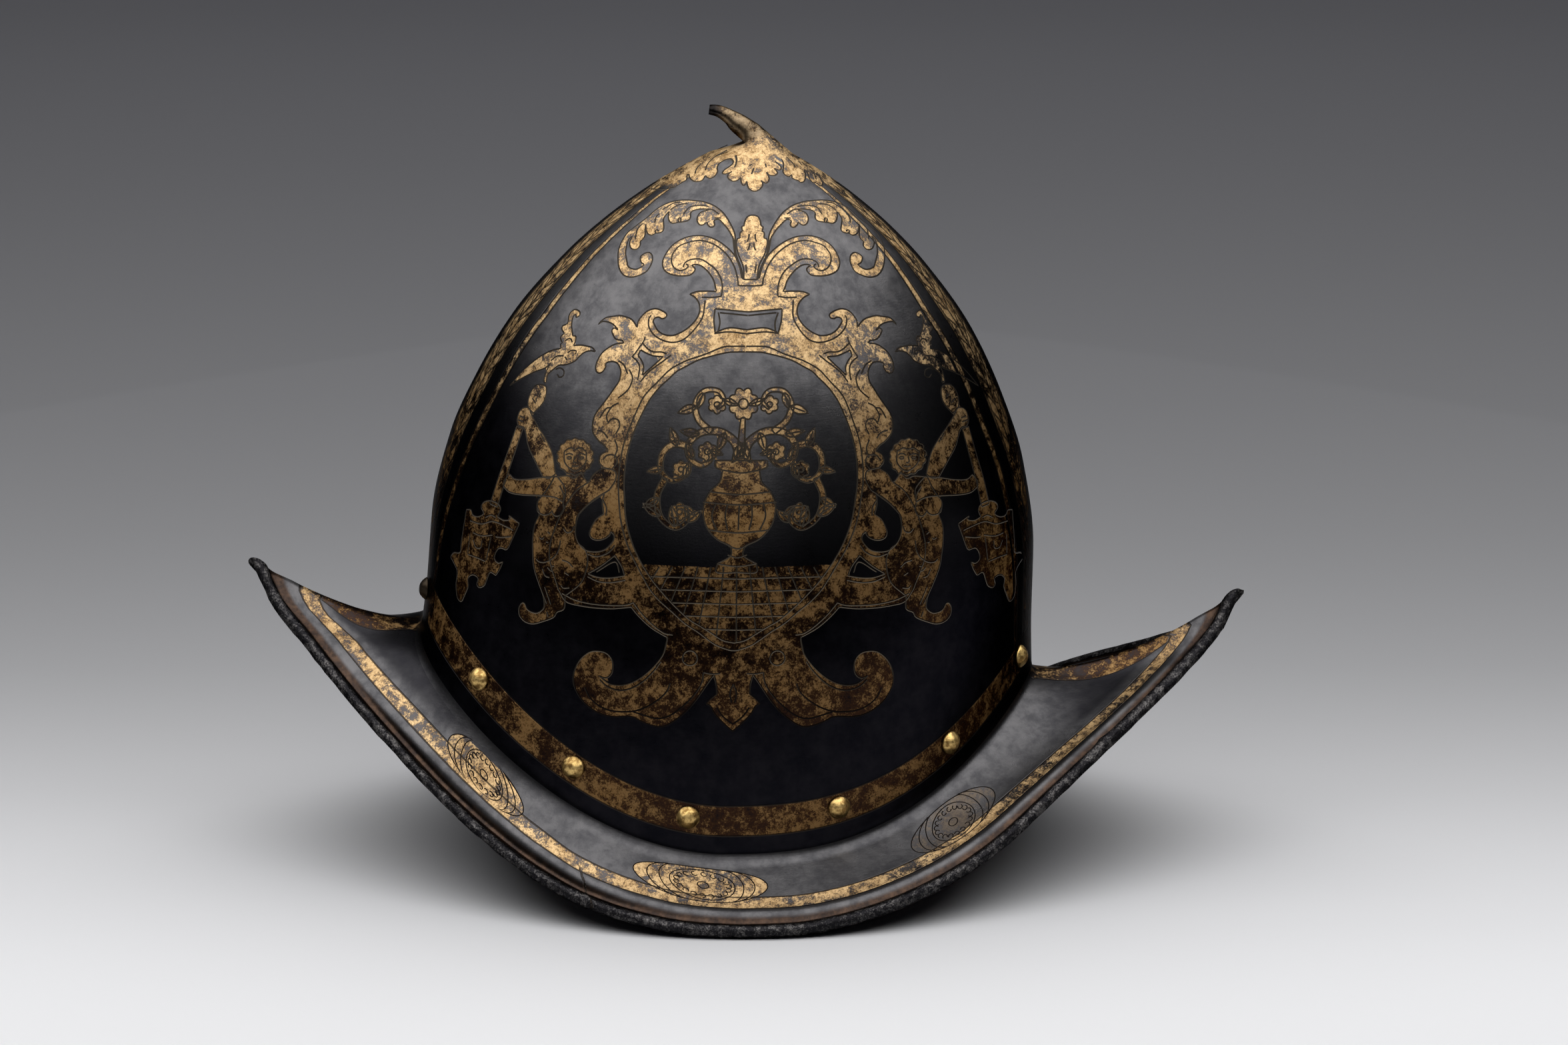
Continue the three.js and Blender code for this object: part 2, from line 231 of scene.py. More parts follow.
def off_the_rim(bearing, distance):
    span, length = brim_ray(bearing)
    return 1 - distance * slant(rim_point, unit(span), bearing) / length


# Rows of the shell: each gives points, normals and its distance in from the rim. Rows with no such
# distance carry a mark instead, so that the finish can tell them apart
COLUMNS = 380
CROWN_MARK = 90.0
CORNER_MARK = 80.0
STALK_MARK = 95.0
BRIM_BELOW = 79.0
ring = np.arange(COLUMNS) / COLUMNS * 2 * np.pi
joint_z = joint_height(ring)


def crown_row(up):
    up = np.broadcast_to(up, ring.shape)
    return crown_point(ring, up), crown_normal(ring, up), np.full(COLUMNS, CROWN_MARK)


def corner_row(share):
    """Rounded corner between wall and brim: a curve with legs of the corner's radius."""
    up = up_the_wall(ring, CORNER_RADIUS)
    out = off_the_joint(ring, CORNER_RADIUS)
    point = (
        crown_point(ring, up) * (1 - share) ** 2
        + crown_point(ring, 0) * 2 * share * (1 - share)
        + brim_point(ring, out) * share ** 2
    )
    normal = unit(crown_normal(ring, up) * (1 - share) + brim_normal(ring, out) * share)
    return point, normal, np.full(COLUMNS, CORNER_MARK)


def brim_row(out, inward, rise=0.0):
    normal = brim_normal(ring, out)
    lifted = brim_point(ring, out) + normal * np.broadcast_to(rise, ring.shape)[:, None]
    return lifted, normal, np.broadcast_to(inward, ring.shape)


def field_share(bearing, share):
    """Place on the brim's ray at a share of its plain field, from rounded corner to raised strip."""
    start = off_the_joint(bearing, CORNER_RADIUS)
    end = off_the_rim(bearing, STRIP_END)
    return start + (end - start) * share


def field_row(share):
    out = field_share(ring, share)
    inward = (1 - out) / np.maximum(1 - off_the_rim(ring, 1.0), 1e-9)
    return brim_row(out, inward)


def edge_row(inward, rise):
    return brim_row(off_the_rim(ring, inward), inward, rise)


def stalk_rings(count):
    """The curled stalk: rings along a curved middle line that flares into the apex, with a hollow end."""
    apex = crown_point(0.0, 1.0)

    def middle(taper):
        back = read_table(STALK_FORM[:, 2], STALK_FORM[:, 0], taper)
        rise = read_table(STALK_FORM[:, 2], STALK_FORM[:, 1], taper)
        return np.array([apex[0] - STALK_REACH * back, 0, APEX_HEIGHT + STALK_RISE * rise])

    mark = np.full(COLUMNS, STALK_MARK)
    rows = []
    side = np.array([0, 1.0, 0])
    for taper in np.linspace(1, 0, count):
        heading = unit(middle(min(taper + 0.02, 1)) - middle(max(taper - 0.02, 0)))
        forward = np.cross(side, heading)
        radius = (STALK_ROOT + (STALK_TIP - STALK_ROOT) * taper) / 2
        turned = np.cos(ring)[:, None] * forward + np.sin(ring)[:, None] * side
        rows.append((middle(taper) + turned * radius, turned, mark))
    heading = unit(middle(1.0) - middle(0.98))
    mouth = rows[0][0] * 0.62 + middle(1.0) * 0.38
    return rows, (mouth, rows[0][1], mark), middle(1.0) - heading * 1.2


def run_along(line):
    """Distance along a line at each of its points."""
    return np.concatenate([[0], np.cumsum(np.linalg.norm(np.diff(line, axis=0), axis=1))])


def spaced(line, count):
    """A line through a count of points at an even pitch."""
    length = run_along(line)
    fine = np.linspace(0, length[-1], count)
    return np.stack([np.interp(fine, length, line[:, axis]) for axis in range(line.shape[1])], -1)


def even_ups(count, top):
    """Shares of the crown's height from the top down, evenly spaced along the side's outline."""
    fine = np.linspace(0, top, 2000)
    run = run_along(crown_point(np.full(2000, -np.pi / 2), fine))
    return np.interp(np.linspace(0, run[-1], count), run, fine)[::-1]


# Bearings in degrees where the rim's bead is nicked, and how deep in millimetres
NOTCHES = ((-121.0, 0.9), (-123.5, 0.5), (-24.0, 0.8), (-70.0, 0.4), (35.0, 0.6), (140.0, 0.7))
# Rows over the crest and groove: distance in from the rim and rise, both in millimetres
EDGE_PROFILE = (
    (13.6, 0.06), (12.6, 0.2), (11.8, 0.38), (11.1, 0.48), (10.4, 0.46), (9.7, 0.3), (9.0, 0.02),
    (8.3, -0.35), (7.6, -0.75), (6.9, -1.02), (6.2, -GROOVE_DEPTH), (5.5, -0.8), (4.9, -0.15),
)
STALK_ROWS, CROWN_ROWS, FIELD_ROWS, BEAD_ROWS, INNER_ROWS = 12, 170, 19, 14, 18
TOP_SHARE = 0.965  # share of the crown's height at which the stalk's foot takes over
FILING = 0.14  # spread of the marks that hand filing left on the bead, in millimetres


def shell_rows():
    """All rows of the shell from the stalk's mouth down the outside and up the inside."""
    stalk, mouth, bottom = stalk_rings(STALK_ROWS)
    rows = [mouth] + stalk
    low = up_the_wall(ring, CORNER_RADIUS)
    for up in even_ups(CROWN_ROWS, TOP_SHARE):
        rows.append(crown_row(low + (1 - low) * up))
    rows += [corner_row(share) for share in (0.25, 0.5, 0.75)]
    rows += [field_row(share) for share in np.linspace(0, 1, FIELD_ROWS)]
    near_tip = np.clip((np.abs(creased(ring, TIP_SHARPNESS)) - 0.8) / 0.16, 0, 1)
    rows += [edge_row(inward, rise * (1 - 0.75 * near_tip)) for inward, rise in EDGE_PROFILE]
    half = BEAD / 2
    filing = RNG.normal(size=(2, BEAD_ROWS, COLUMNS)) * FILING
    filing = filing + np.roll(filing, 1, axis=2) + 0.5 * np.roll(filing, 1, axis=1)
    for degrees, depth in NOTCHES:
        filing[:, :, int(round((degrees % 360) / 360 * COLUMNS))] += depth
    turns = np.radians(np.linspace(30, 300, BEAD_ROWS))
    for angle, (sideways, upward) in zip(turns, filing.transpose(1, 0, 2)):
        inward = half * (1 + math.cos(angle)) + np.abs(sideways)
        rows.append(edge_row(inward, half * (math.sin(angle) - 0.4) + upward * math.cos(angle) * 0.6))
    outside = len(rows)
    under = [edge_row(7.3, -GROOVE_DEPTH), edge_row(BEAD + GROOVE, CREST)]
    under += [field_row(share) for share in (1, 0.66, 0.33)]
    under += [corner_row(share) for share in (1, 0.5, 0)]
    for up in even_ups(INNER_ROWS, TOP_SHARE)[::-1][1:]:
        under.append(crown_row(low + (1 - low) * up))
    rows += [(point - normal * PLATE, normal, inward) for point, normal, inward in under]
    apex = crown_point(0.0, 1.0)
    return rows, outside, bottom, apex - np.array([0, 0, 1.2 * PLATE])


rows, OUTSIDE_ROWS, stalk_bottom, inner_apex = shell_rows()
grid = np.stack([points for points, _, _ in rows])
inwards = np.stack([inward for _, _, inward in rows])
LIFT = -float(grid[..., 2].min())  # the model's own frame stands on the bead's underside


def closed_skin(count_rows, columns):
    """Faces of a skin through rings of points, with a point at each end, turned outwards."""
    column = np.arange(columns)
    after = (column + 1) % columns
    row = np.arange(count_rows - 1)[:, None]
    a, b = 1 + row * columns + column, 1 + row * columns + after
    quads = np.stack([a, a + columns, b + columns, b], -1).reshape(-1, 4)
    first = np.stack([np.zeros(columns, int), 1 + column, 1 + after], -1)
    base = 1 + (count_rows - 1) * columns
    last = np.stack([base + column, np.full(columns, base + columns), base + after], -1)
    return quads.tolist() + np.concatenate([first, last]).tolist()


def new_object(name, points, faces, rounded=True):
    """A mesh object from points in millimetres and faces."""
    mesh = bpy.data.meshes.new(name)
    mesh.from_pydata((points * MM).tolist(), [], faces)
    mesh.polygons.foreach_set("use_smooth", [rounded] * len(mesh.polygons))
    made = bpy.data.objects.new(name, mesh)
    bpy.context.scene.collection.objects.link(made)
    return made


def add_attribute(made, name, values):
    layer = made.data.attributes.new(name, "FLOAT", "POINT")
    layer.data.foreach_set("value", np.ascontiguousarray(values, dtype=np.float32))


def dress(made, material, node):
    """Give a finished piece its material, and let it stand for a solid of the part."""
    made.data.materials.append(material)
    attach(made, "root")
    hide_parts(node)


FAR = -9.0  # signed distance where no gilding is near
# Heights on the crown, and how much wider the bands beside the keel are there
KEEL_SPREAD = ((60, 163, 188, 203, 220, 236, 250), (1.2, 1.28, 1.2, 1.15, 0.95, 0.76, 0.53))


def raised_attributes():
    """Distances off the medial line, down from the apex and over the foot, and which rows lie outside."""
    around = np.linalg.norm(np.diff(np.concatenate([grid, grid[:, :1]], axis=1), axis=1), axis=-1)
    run = np.concatenate([np.zeros((len(grid), 1)), np.cumsum(around, axis=1)], axis=1)
    half = COLUMNS // 2
    from_front = np.minimum(run[:, :-1], run[:, -1:] - run[:, :-1])
    from_rear = np.abs(run[:, :-1] - run[:, half : half + 1])
    ridge = np.minimum(from_front, from_rear)
    spread = np.interp(grid[..., 2], *KEEL_SPREAD)
    ridge = np.where(inwards > BRIM_BELOW, ridge / spread, ridge)
    down = np.linalg.norm(np.diff(grid, axis=0), axis=-1)
    along = np.concatenate([np.zeros((1, COLUMNS)), np.cumsum(down, axis=0)])
    rear = np.maximum(-np.cos(ring), 0) ** 2
    foot = (grid[..., 2] - joint_z) / (1 + 0.25 * rear)
    outside = np.arange(len(grid))[:, None] < OUTSIDE_ROWS
    foot = np.where(inwards < BRIM_BELOW, FAR, foot)
    return ridge, along, foot, np.broadcast_to(outside, foot.shape).astype(float)


ridge, along, foot, outside = raised_attributes()


# The etched pattern is drawn on a sheet of squares, about 1.45 mm wide on the crown, as the side is
# seen from 1.8 m away and 15 degrees above: columns count forward, rows count down
SHEET_EYE = np.array([14.1, -1738.7, 586.7])
SHEET_AHEAD = np.array([0, math.cos(VIEW_RISE), -math.sin(VIEW_RISE)])
SHEET_RISE = np.array([0, math.sin(VIEW_RISE), math.cos(VIEW_RISE)])
SHEET_MIDDLE = (92.74, 104.09)
SHEET_SCALE = 1209.8
SIDE_AWAY = 1725  # about how far off the crown's side lies, where the search for a point starts
SHEET_HEIGHT = 108.8  # and about how high the sheet's middle lies there
SQUARE = 1.45


def on_sheet(points):
    """Columns and rows of points of the side, by their bearing and depth from the eye."""
    away = points - SHEET_EYE
    depth = away @ SHEET_AHEAD
    column = SHEET_MIDDLE[0] + SHEET_SCALE * away[..., 0] / depth
    row = SHEET_MIDDLE[1] - SHEET_SCALE * (away @ SHEET_RISE) / depth
    return np.stack([column, row], -1)


def middle_line(row):
    """Column of the pattern's own middle, which leans forward as the crown does."""
    return np.interp(row, (20, 45, 62, 94, 115, 134, 156), (85.2, 84.3, 83, 81.9, 80.9, 80.2, 79.9))


def mirrored(line):
    """A line on the other half of the pattern, run the other way."""
    return np.stack([2 * middle_line(line[:, 1]) - line[:, 0], line[:, 1]], -1)[::-1]


def pair(line):
    """A line and its mirror image."""
    return [line, mirrored(line)]


def smooth(flat, parts=6):
    """A curve through a run of points: each stretch is a cubic with slopes from its neighbours."""
    given = np.array(flat, float).reshape(-1, 2)
    if len(given) < 3:
        return given
    ends = np.concatenate([[2 * given[0] - given[1]], given, [2 * given[-1] - given[-2]]])
    a, b, c, d = ends[:-3, None], ends[1:-2, None], ends[2:-1, None], ends[3:, None]
    t = (np.arange(parts) / parts)[:, None]
    curve = b + 0.5 * t * (c - a + t * (2 * a - 5 * b + 4 * c - d + t * (3 * (b - c) + d - a)))
    return np.concatenate([curve.reshape(-1, 2), given[-1:]])


def joined(*runs):
    """Smooth runs that meet in corners, each from the end of the one before."""
    parts, start = [], []
    for run in runs:
        parts.append(smooth(start + run))
        start = run[-2:]
    return np.concatenate(parts)


def whole(half):
    """A closed outline from its left half, run from the top of the middle to the bottom."""
    return np.concatenate([half, mirrored(half)])


SPRAY = joined(
    [82.5, 43, 82, 40.5, 80.8, 37.2, 80.4, 34.5, 80.5, 32.2, 79.4, 29.5, 77.9, 27.1, 76.5, 25.7,
    74.8, 24.6, 72.4, 23.8, 70, 23.5, 67.6, 23.4, 65.2, 23.7, 63.3, 24.3, 61.4, 25.3, 60, 26.4,
    58.3, 27.9, 55.9, 29.7, 53.4, 31.8, 51.9, 34.3, 51.3, 36.2, 51.2, 38.2, 51.4, 40.1, 52, 41.5,
    53, 42.4, 54.7, 42.7, 56.6, 42.2, 58.3, 41.3, 59.35, 39.8, 59.8, 38.4, 59.7, 37.2, 58.9, 36.5,
    57.7, 36.85, 56.8, 37.7, 57, 39, 57.8, 39.5], [57.1, 40.1, 55.9, 40.7, 54.7, 40.6, 53.7, 40,
    53.4, 38.6, 53.1, 36.7, 53.4, 34.6, 54, 33.1, 54.9, 32.4], [54.3, 33.4, 54.1, 34.3, 54.4, 35.4,
    55.3, 35.8, 56.2, 35.5, 56.8, 34.6, 56.7, 33.8], [57.6, 33, 58, 31.9, 58, 30.6, 58.2, 29.3],
    [58.2, 30.7, 58.6, 31.8, 59.6, 32.2, 60.6, 31.7], [61.9, 31.5, 62.6, 30.85, 62.6, 29.3, 62.6, 28.1,
    63.3, 27, 64, 26.2], [63.8, 27.4, 64, 28.6, 64.75, 29.2, 66.2, 29, 67.1, 28.9, 68.6, 28.6,
    69.3, 27.85, 69.3, 26.65], [70, 26.05, 71.5, 25.7, 73.1, 25.65, 73.9, 25.9], [72.6, 26.2, 71.7, 26.65,
    71.1, 27.6, 71, 28.6, 71.5, 29.5, 72.4, 29.65, 73.5, 28.9], [73.6, 29.5, 74.3, 30.2, 75.1, 30.1,
    75.4, 29.5, 75.2, 28.7, 75.7, 28.3, 76.5, 28.3, 77.5, 29.3, 78.7, 30.7, 79.6, 32.2, 80, 33, 80.2, 35,
    80.6, 37.4, 81.7, 40.3, 82.2, 43],
)
SPRAY_VEINS = [
    [61.6, 26.8, 60.9, 27.4, 60.55, 28.2, 60.4, 29.05], [57.55, 29.2, 56.6, 30, 55.9, 31.2, 55.5, 33.1],
    [67.6, 27, 68.2, 26.1, 69.1, 25.2, 70.3, 24.85, 71.9, 24.7, 73.9, 25], [64.3, 25.9, 65.2, 25.2,
    66.7, 24.5, 68.6, 24.3], [66.7, 23.9, 65.2, 24.1, 63.8, 24.9, 62.3, 25.8], [73.3, 25.65, 74.8, 25.8,
    76.4, 26.9], [75.4, 27.9, 77, 27.9], [60.6, 31.7, 60.5, 31, 61, 30.8, 61.3, 31.2], [66.4, 29,
    66.2, 28.2, 66.6, 27.8, 67, 28.2, 66.8, 28.9],
]
BUD = whole(joined(
    [84.4, 27.2, 83.6, 27.6, 83, 28.6, 82.7, 29.9], [82.2, 30, 82.2, 30.6, 82.4, 31.2], [81.9, 31.4,
    81.7, 32.1, 81.8, 32.9], [81, 33.2, 80.8, 34.6, 81.3, 37, 82.5, 40, 82.7, 43.3],
))
BUD_VEINS = [
    [84, 31.9, 83.9, 33, 83.5, 33.8], [84.2, 34.2, 84, 35.2, 83.6, 36], [83.2, 39.5, 83.4, 41.6],
]
PALMETTE = joined(
    [59.5, 20.6, 62.5, 20.7, 65.2, 20.2, 65.9, 19.8, 67.6, 18.8, 68.4, 18.2, 68.5, 17.1, 68.9, 16.8],
    [69.1, 17.8, 70, 18.6, 71.1, 18.8, 72.2, 18.5, 72.9, 17.6, 73.05, 17.05], [73.3, 17.6, 74.2, 18,
    75.2, 17.6, 76, 16.6, 76.1, 16, 76, 15.3, 76.4, 14.4, 77.3, 13.7, 78.5, 13.2, 79.4, 13.1, 80, 13.7,
    79.9, 14.3, 79.1, 15, 78, 15.7, 77.3, 16.5, 77.6, 16.9, 78.8, 16.7, 79.8, 16.2], [78.9, 16.8,
    78.6, 17.6, 79.2, 18.4, 80.3, 18.7, 81.4, 18.3, 81.9, 17.6], [82, 18.8, 82.3, 19.5, 82.7, 19.8,
    83.2, 19.3, 83.4, 18.5], [83.5, 19.4, 84, 20.6, 85.2, 21.2, 86.4, 20.9, 87.3, 20, 87.4, 19.1,
    86.9, 18.4], [87.7, 19, 88.3, 19.2, 88.9, 18.7, 89, 17.8, 88.4, 16.5], [88.4, 16.3], [89, 17.1,
    90.2, 17.3, 90.9, 17, 91.1, 16.4, 90.2, 15.4], [91.4, 15.9, 92.05, 15.6, 91.8, 14.8, 90.8, 14,
    90, 13.1, 90, 12.4, 90.5, 12.1, 91.7, 12.65, 92.5, 13.8, 92.6, 15, 92.5, 16.3, 93, 17.1, 94, 17.55,
    94.75, 17], [94.75, 17.8, 95.5, 18.3, 96.2, 18.5, 97, 19, 97.8, 18.7, 98.1, 17.6, 98, 16.5,
    97.8, 15.7], [98.6, 16.5, 99, 17.8, 99.9, 19, 100.8, 19.1, 101.5, 19.7, 102.2, 19.8, 102.4, 19.1,
    101.8, 17.9], [103.2, 19.4, 105.4, 20.6, 108, 22], [105, 12, 95, 2, 86, -2, 70, 6, 61, 14, 59.5, 20.6],
)
PALMETTE_VEINS = [
    [78.5, 10.9, 76.7, 11.8, 75, 12.9, 73.6, 14.4, 73.05, 15.9], [91.7, 11.2, 93.4, 12.65, 94.9, 14.1,
    95.6, 15.2], [85.4, 10.5, 85.4, 11.5, 85.1, 12.4, 84.6, 12.9, 83.9, 13.1], [85.5, 12.6, 85.3, 13.6,
    84.8, 14.3, 84.1, 14.8], [85.2, 15.4, 84.9, 16.2, 84.6, 16.9], [80.6, 12.2, 80.9, 13.6, 80.4, 15.2],
    [88.3, 12, 88, 13.6, 88.3, 15.2], [71.6, 14.6, 70.8, 15.6, 70.5, 16.8], [96.4, 13.6, 97.2, 14.6],
    [99.4, 15.8, 100.4, 17, 100.8, 18.2],
]
FRAME_HALF = joined(
    [84.4, 43.3, 82.6, 43.3], [82.1, 41, 81.5, 39.1, 79.9, 36.7, 78.2, 35.05, 76.3, 33.7, 73.9, 32.65,
    71.2, 32.3, 68.6, 32.65, 66.4, 33.6, 64.5, 35.05, 63.1, 37, 62.35, 38.9, 62.6, 40.6, 63.55, 41.6,
    65.2, 42.2, 67.1, 42.4, 69.1, 42.2, 70.1, 41.5, 70.5, 40.6, 69.6, 39.7], [70.7, 39.5, 71.9, 39.8,
    73.1, 40.7, 74.3, 42.1, 75.2, 43.7, 75.6, 45.4, 75.9, 46.3], [73.5, 46.2, 71.1, 46.3, 69.2, 46.9],
    [69.2, 47], [70.5, 47.8, 71.4, 49.1, 71.7, 50.6, 71.4, 52.05, 70.6, 53.5, 69.2, 55, 67.4, 56.3,
    65.35, 57.2, 63.9, 57.3, 62.3, 56.9, 61.1, 56, 60.4, 54.8, 60, 53.7, 60.5, 52.9, 61.4, 52.7,
    62.1, 53.1], [63, 52.9, 63.4, 52.05, 62.4, 51.2, 60.7, 50.6, 58.9, 51, 57.4, 52.2, 56.3, 53.7,
    56, 55.3], [55.9, 55.2], [55.4, 54.25, 54.5, 53.2, 53, 52.6, 51.6, 52.3, 50.1, 52.5, 48.3, 52.8,
    47, 53.7, 46.3, 54.5], [47.3, 53.8, 48.6, 53.9, 50, 54.5, 51.3, 56], [50.4, 55.4, 49.7, 55.9,
    49.9, 57, 50.7, 58.2, 52.3, 58.5], [52.7, 59.15], [50.7, 59.4, 48.9, 60.3, 47.2, 61.7, 46.1, 63.5,
    45.6, 65.2, 45.85, 66.4, 46.7, 66.7, 47.6, 66.1, 48.2, 65], [48.1, 64.4, 48.6, 64, 49.8, 63.8,
    51, 64.2, 51.7, 65.4, 51.9, 66.7, 51.4, 68.8, 50.25, 70.5, 48.8, 72.6, 47.5, 74.3, 45.9, 76.4,
    45.1, 78.1, 44.8, 80.1, 45.1, 81.9, 46.5, 83.8, 47.7, 84.7, 48.7, 86.1], [46.9, 87.2, 46.5, 89,
    47.6, 90.4], [45.2, 91.9, 43.9, 93.9], [40, 97, 36, 104, 34, 112, 36.3, 120.8], [38.2, 123.8,
    41.4, 124.8, 45.5, 125.4, 50, 125.6, 54.5, 125.2], [56.6, 127.7, 59.4, 130.3, 62.1, 132, 63.6, 132.8],
    [63.2, 134.6, 62.5, 137, 60.8, 139.4, 58.7, 141.5, 56.6, 143.1, 54.2, 144.3, 51.75, 144.8,
    49.3, 144.5, 47.6, 143.4, 46.4, 142.4], [47.8, 143, 49, 142.6, 49.8, 141.2, 49.8, 138.75, 48.6, 137,
    46.6, 136.3, 44.1, 136.5, 41.7, 138.4, 40.3, 141.2, 40.1, 144.3, 41.4, 147.4, 43.4, 149.8,
    46.6, 151.9, 50, 152.7, 54.5, 152.7, 57.3, 154, 60.1, 155, 62.5, 155.15, 64.9, 154, 68, 151.6,
    70.5, 148.8, 72.2, 146.4, 73.9, 143.95, 75.2, 142.2], [75.8, 144.6, 75.9, 147], [74.1, 148.5,
    73.2, 149.5], [74.3, 150, 75.5, 152.1, 77.75, 154.5, 79.9, 156.4],
)
OVAL_HALF = smooth([
    83, 61.4, 79.1, 61.5, 76.5, 62, 74.1, 62.6, 71.2, 63.5, 68.3, 65, 65.9, 66.3, 64.2, 67.9, 62.1, 69.8,
    60.4, 71.7, 58.6, 74.3, 56, 79.5, 54.3, 84, 53.2, 88.6, 52.7, 93.4, 52.8, 98, 53.2, 103.4,
    54.6, 108.8, 56.6, 113.4, 59.4, 118, 62.1, 121.4, 65.6, 125.2, 69.1, 128.4, 71.9, 130.1, 74.6, 131.8,
    77.5, 133.6, 80.2, 134.2,
])
OVAL_OUTER = smooth([
    83, 60, 80, 60, 78.2, 60.05, 76.5, 60.55, 74.7, 61.3, 73, 62, 70.6, 62.8, 68.3, 63.6, 65.9, 64.8,
    63.9, 66.1, 62.1, 67.9, 60.4, 69.65, 58.9, 71.1, 57.1, 73.6, 54.6, 79.2, 52.8, 84, 51.8, 88.6,
    51.3, 93.4, 51.4, 98, 51.9, 103.6, 53.3, 109, 55, 113, 57.6, 118, 59.4, 121.1, 61.8, 123.85,
    64.9, 126.6, 68, 129.4, 71.2, 131.5, 73.9, 133.55, 76, 134.9, 79.1, 136, 80.2, 136.1,
])
CUTOUTS = [
    joined(
        [56.85, 60.9, 58.3, 61.7, 60.1, 62.4, 62.5, 62.6], [60.1, 64.8, 58.6, 66.1, 57.3, 67.3],
        [57.6, 65.2, 57.1, 63.6, 56.2, 62.3], [56.85, 60.9],
    ),
    joined(
        [41.4, 101.9, 44, 99.4, 47.8, 96.8], [47.3, 98.9, 47.6, 102], [45.8, 103.2, 44.6, 105.1,
        44.1, 106.7, 44.6, 108, 46.2, 108.5, 48.1, 108, 49.2, 107, 49.3, 106.3], [50.2, 107.2,
        49.9, 108.8, 47.8, 110.9, 45.2, 111.4, 43, 110.9, 41.4, 109.3, 40.6, 107, 40.7, 104.2,
        41.4, 101.9],
    ),
    joined(
        [50.4, 112.3, 47, 114.9, 43.6, 116.9], [46.4, 117.8, 49.4, 117.9, 52.9, 117.4], [52.1, 115,
        50.4, 112.3],
    ),
]
WINDOW = whole(joined(
    [83.7, 51.4, 75.5, 50.6], [75.2, 53.5, 75.5, 56.6], [78, 55.6, 80, 55.4, 83.6, 55.9],
))
FRAME_LINES = [
    [81.05, 42.7, 80.3, 40.1, 78.7, 37.4, 76.5, 35.3, 74.3, 34.1, 71.5, 33.5, 68.8, 34, 66.7, 34.8,
    65.5, 36, 64.75, 37.2, 64.6, 38.9, 65.2, 40.3, 66.4, 41, 67.6, 40.9, 68.6, 40.3, 68.7, 39.7,
    68.2, 39.4], [67.5, 40.2, 67.9, 39.2, 69.1, 38.4, 71, 38.1, 72.4, 38.4, 74.1, 39.5, 75.8, 41,
    76.9, 43, 77.3, 44.9, 77.2, 46.6, 77, 47.5], [77, 47.5, 74.6, 47.8, 72.2, 47.7], [84.4, 44.9,
    81.3, 44.8], [81.1, 42.6, 81.3, 44.8], [73, 48.5, 72.8, 50.3, 72.4, 52.6, 71.2, 54.7, 69.2, 57,
    67.4, 58.4, 65.35, 59, 63.3, 58.8, 61.2, 57.9, 59.8, 56.7, 58.9, 55, 58.9, 53.2, 59.5, 52.2],
    [83.7, 52.3, 76.7, 51.6], [76.3, 51.5, 76.7, 54, 76.3, 56.2], [75.3, 56.8, 79, 56.4, 83.6, 56.9],
    [57.4, 59.2, 58.6, 60.6, 60.1, 61.4, 62, 61.4, 63.4, 61.9], [64.5, 62.2, 62.4, 63.8, 60.7, 65,
    58.6, 66.7, 56.8, 68.9], [55.4, 61.9, 54.8, 62.6, 55.8, 63.5, 56.6, 65, 56.4, 67, 56.1, 68.5],
    [58, 57.6, 57.6, 58.8, 56.6, 60.2, 55.4, 61.9], [51.3, 63.6, 52.7, 64.7, 53.6, 66.9], [54, 65.8,
    54.8, 67.7, 54.4, 69.6, 53.4, 71.2, 51.2, 73], [51.4, 74.2, 49.8, 75, 48.4, 77.2, 48.6, 79],
    [46.6, 78, 48.2, 75.6, 49.4, 75.4], [48.6, 79.4, 49.6, 78.2, 51.2, 78.4, 51.6, 80, 50.6, 82], [46, 81,
    47.6, 81.6, 48.6, 83], [50.4, 83.4, 51, 85.6, 50.2, 88], [47.4, 88.4, 48.6, 87.2, 50.4, 87.4, 51, 89,
    49.8, 90.6], [47.4, 98.4, 48.3, 100.4, 48.2, 102.4], [43.5, 111.9, 46, 112.6, 48.8, 111.6,
    50.4, 109.8], [45.8, 116.4, 50.4, 113.9, 51.6, 116.6], [43.6, 117.6, 46.2, 118.8, 49.4, 119.1,
    53, 118.5], [37.2, 121.8, 40.1, 123.3, 43.3, 124.2, 47.1, 124.7, 52.6, 124.8, 55.1, 124.1],
    [55.1, 124.2, 57.3, 127.1, 60.1, 129.9, 62.8, 131.8, 64.9, 132.2], [46.6, 143.4, 48.6, 145.2,
    51.8, 146.1, 55, 145.4, 57.8, 143.6, 60.2, 141.2, 61.9, 138.9], [42.9, 145.4, 44.2, 148, 46.8, 150.2,
    50, 151.3, 54.6, 151.4, 58, 150.4, 61.2, 148.5, 63.4, 146.4, 64.2, 144.4], [55, 151.5, 57.6, 152.3,
    61.2, 153.2, 64.6, 152.2, 68, 149.6, 70.6, 146.8, 72.2, 144, 72.6, 141.6], [72.6, 141.6, 74.6, 142,
    76.8, 141.9], [80, 144.6, 79.2, 146.8, 79.6, 149.2], [75.9, 150.4, 77.4, 152.6, 79.9, 154.6],
]
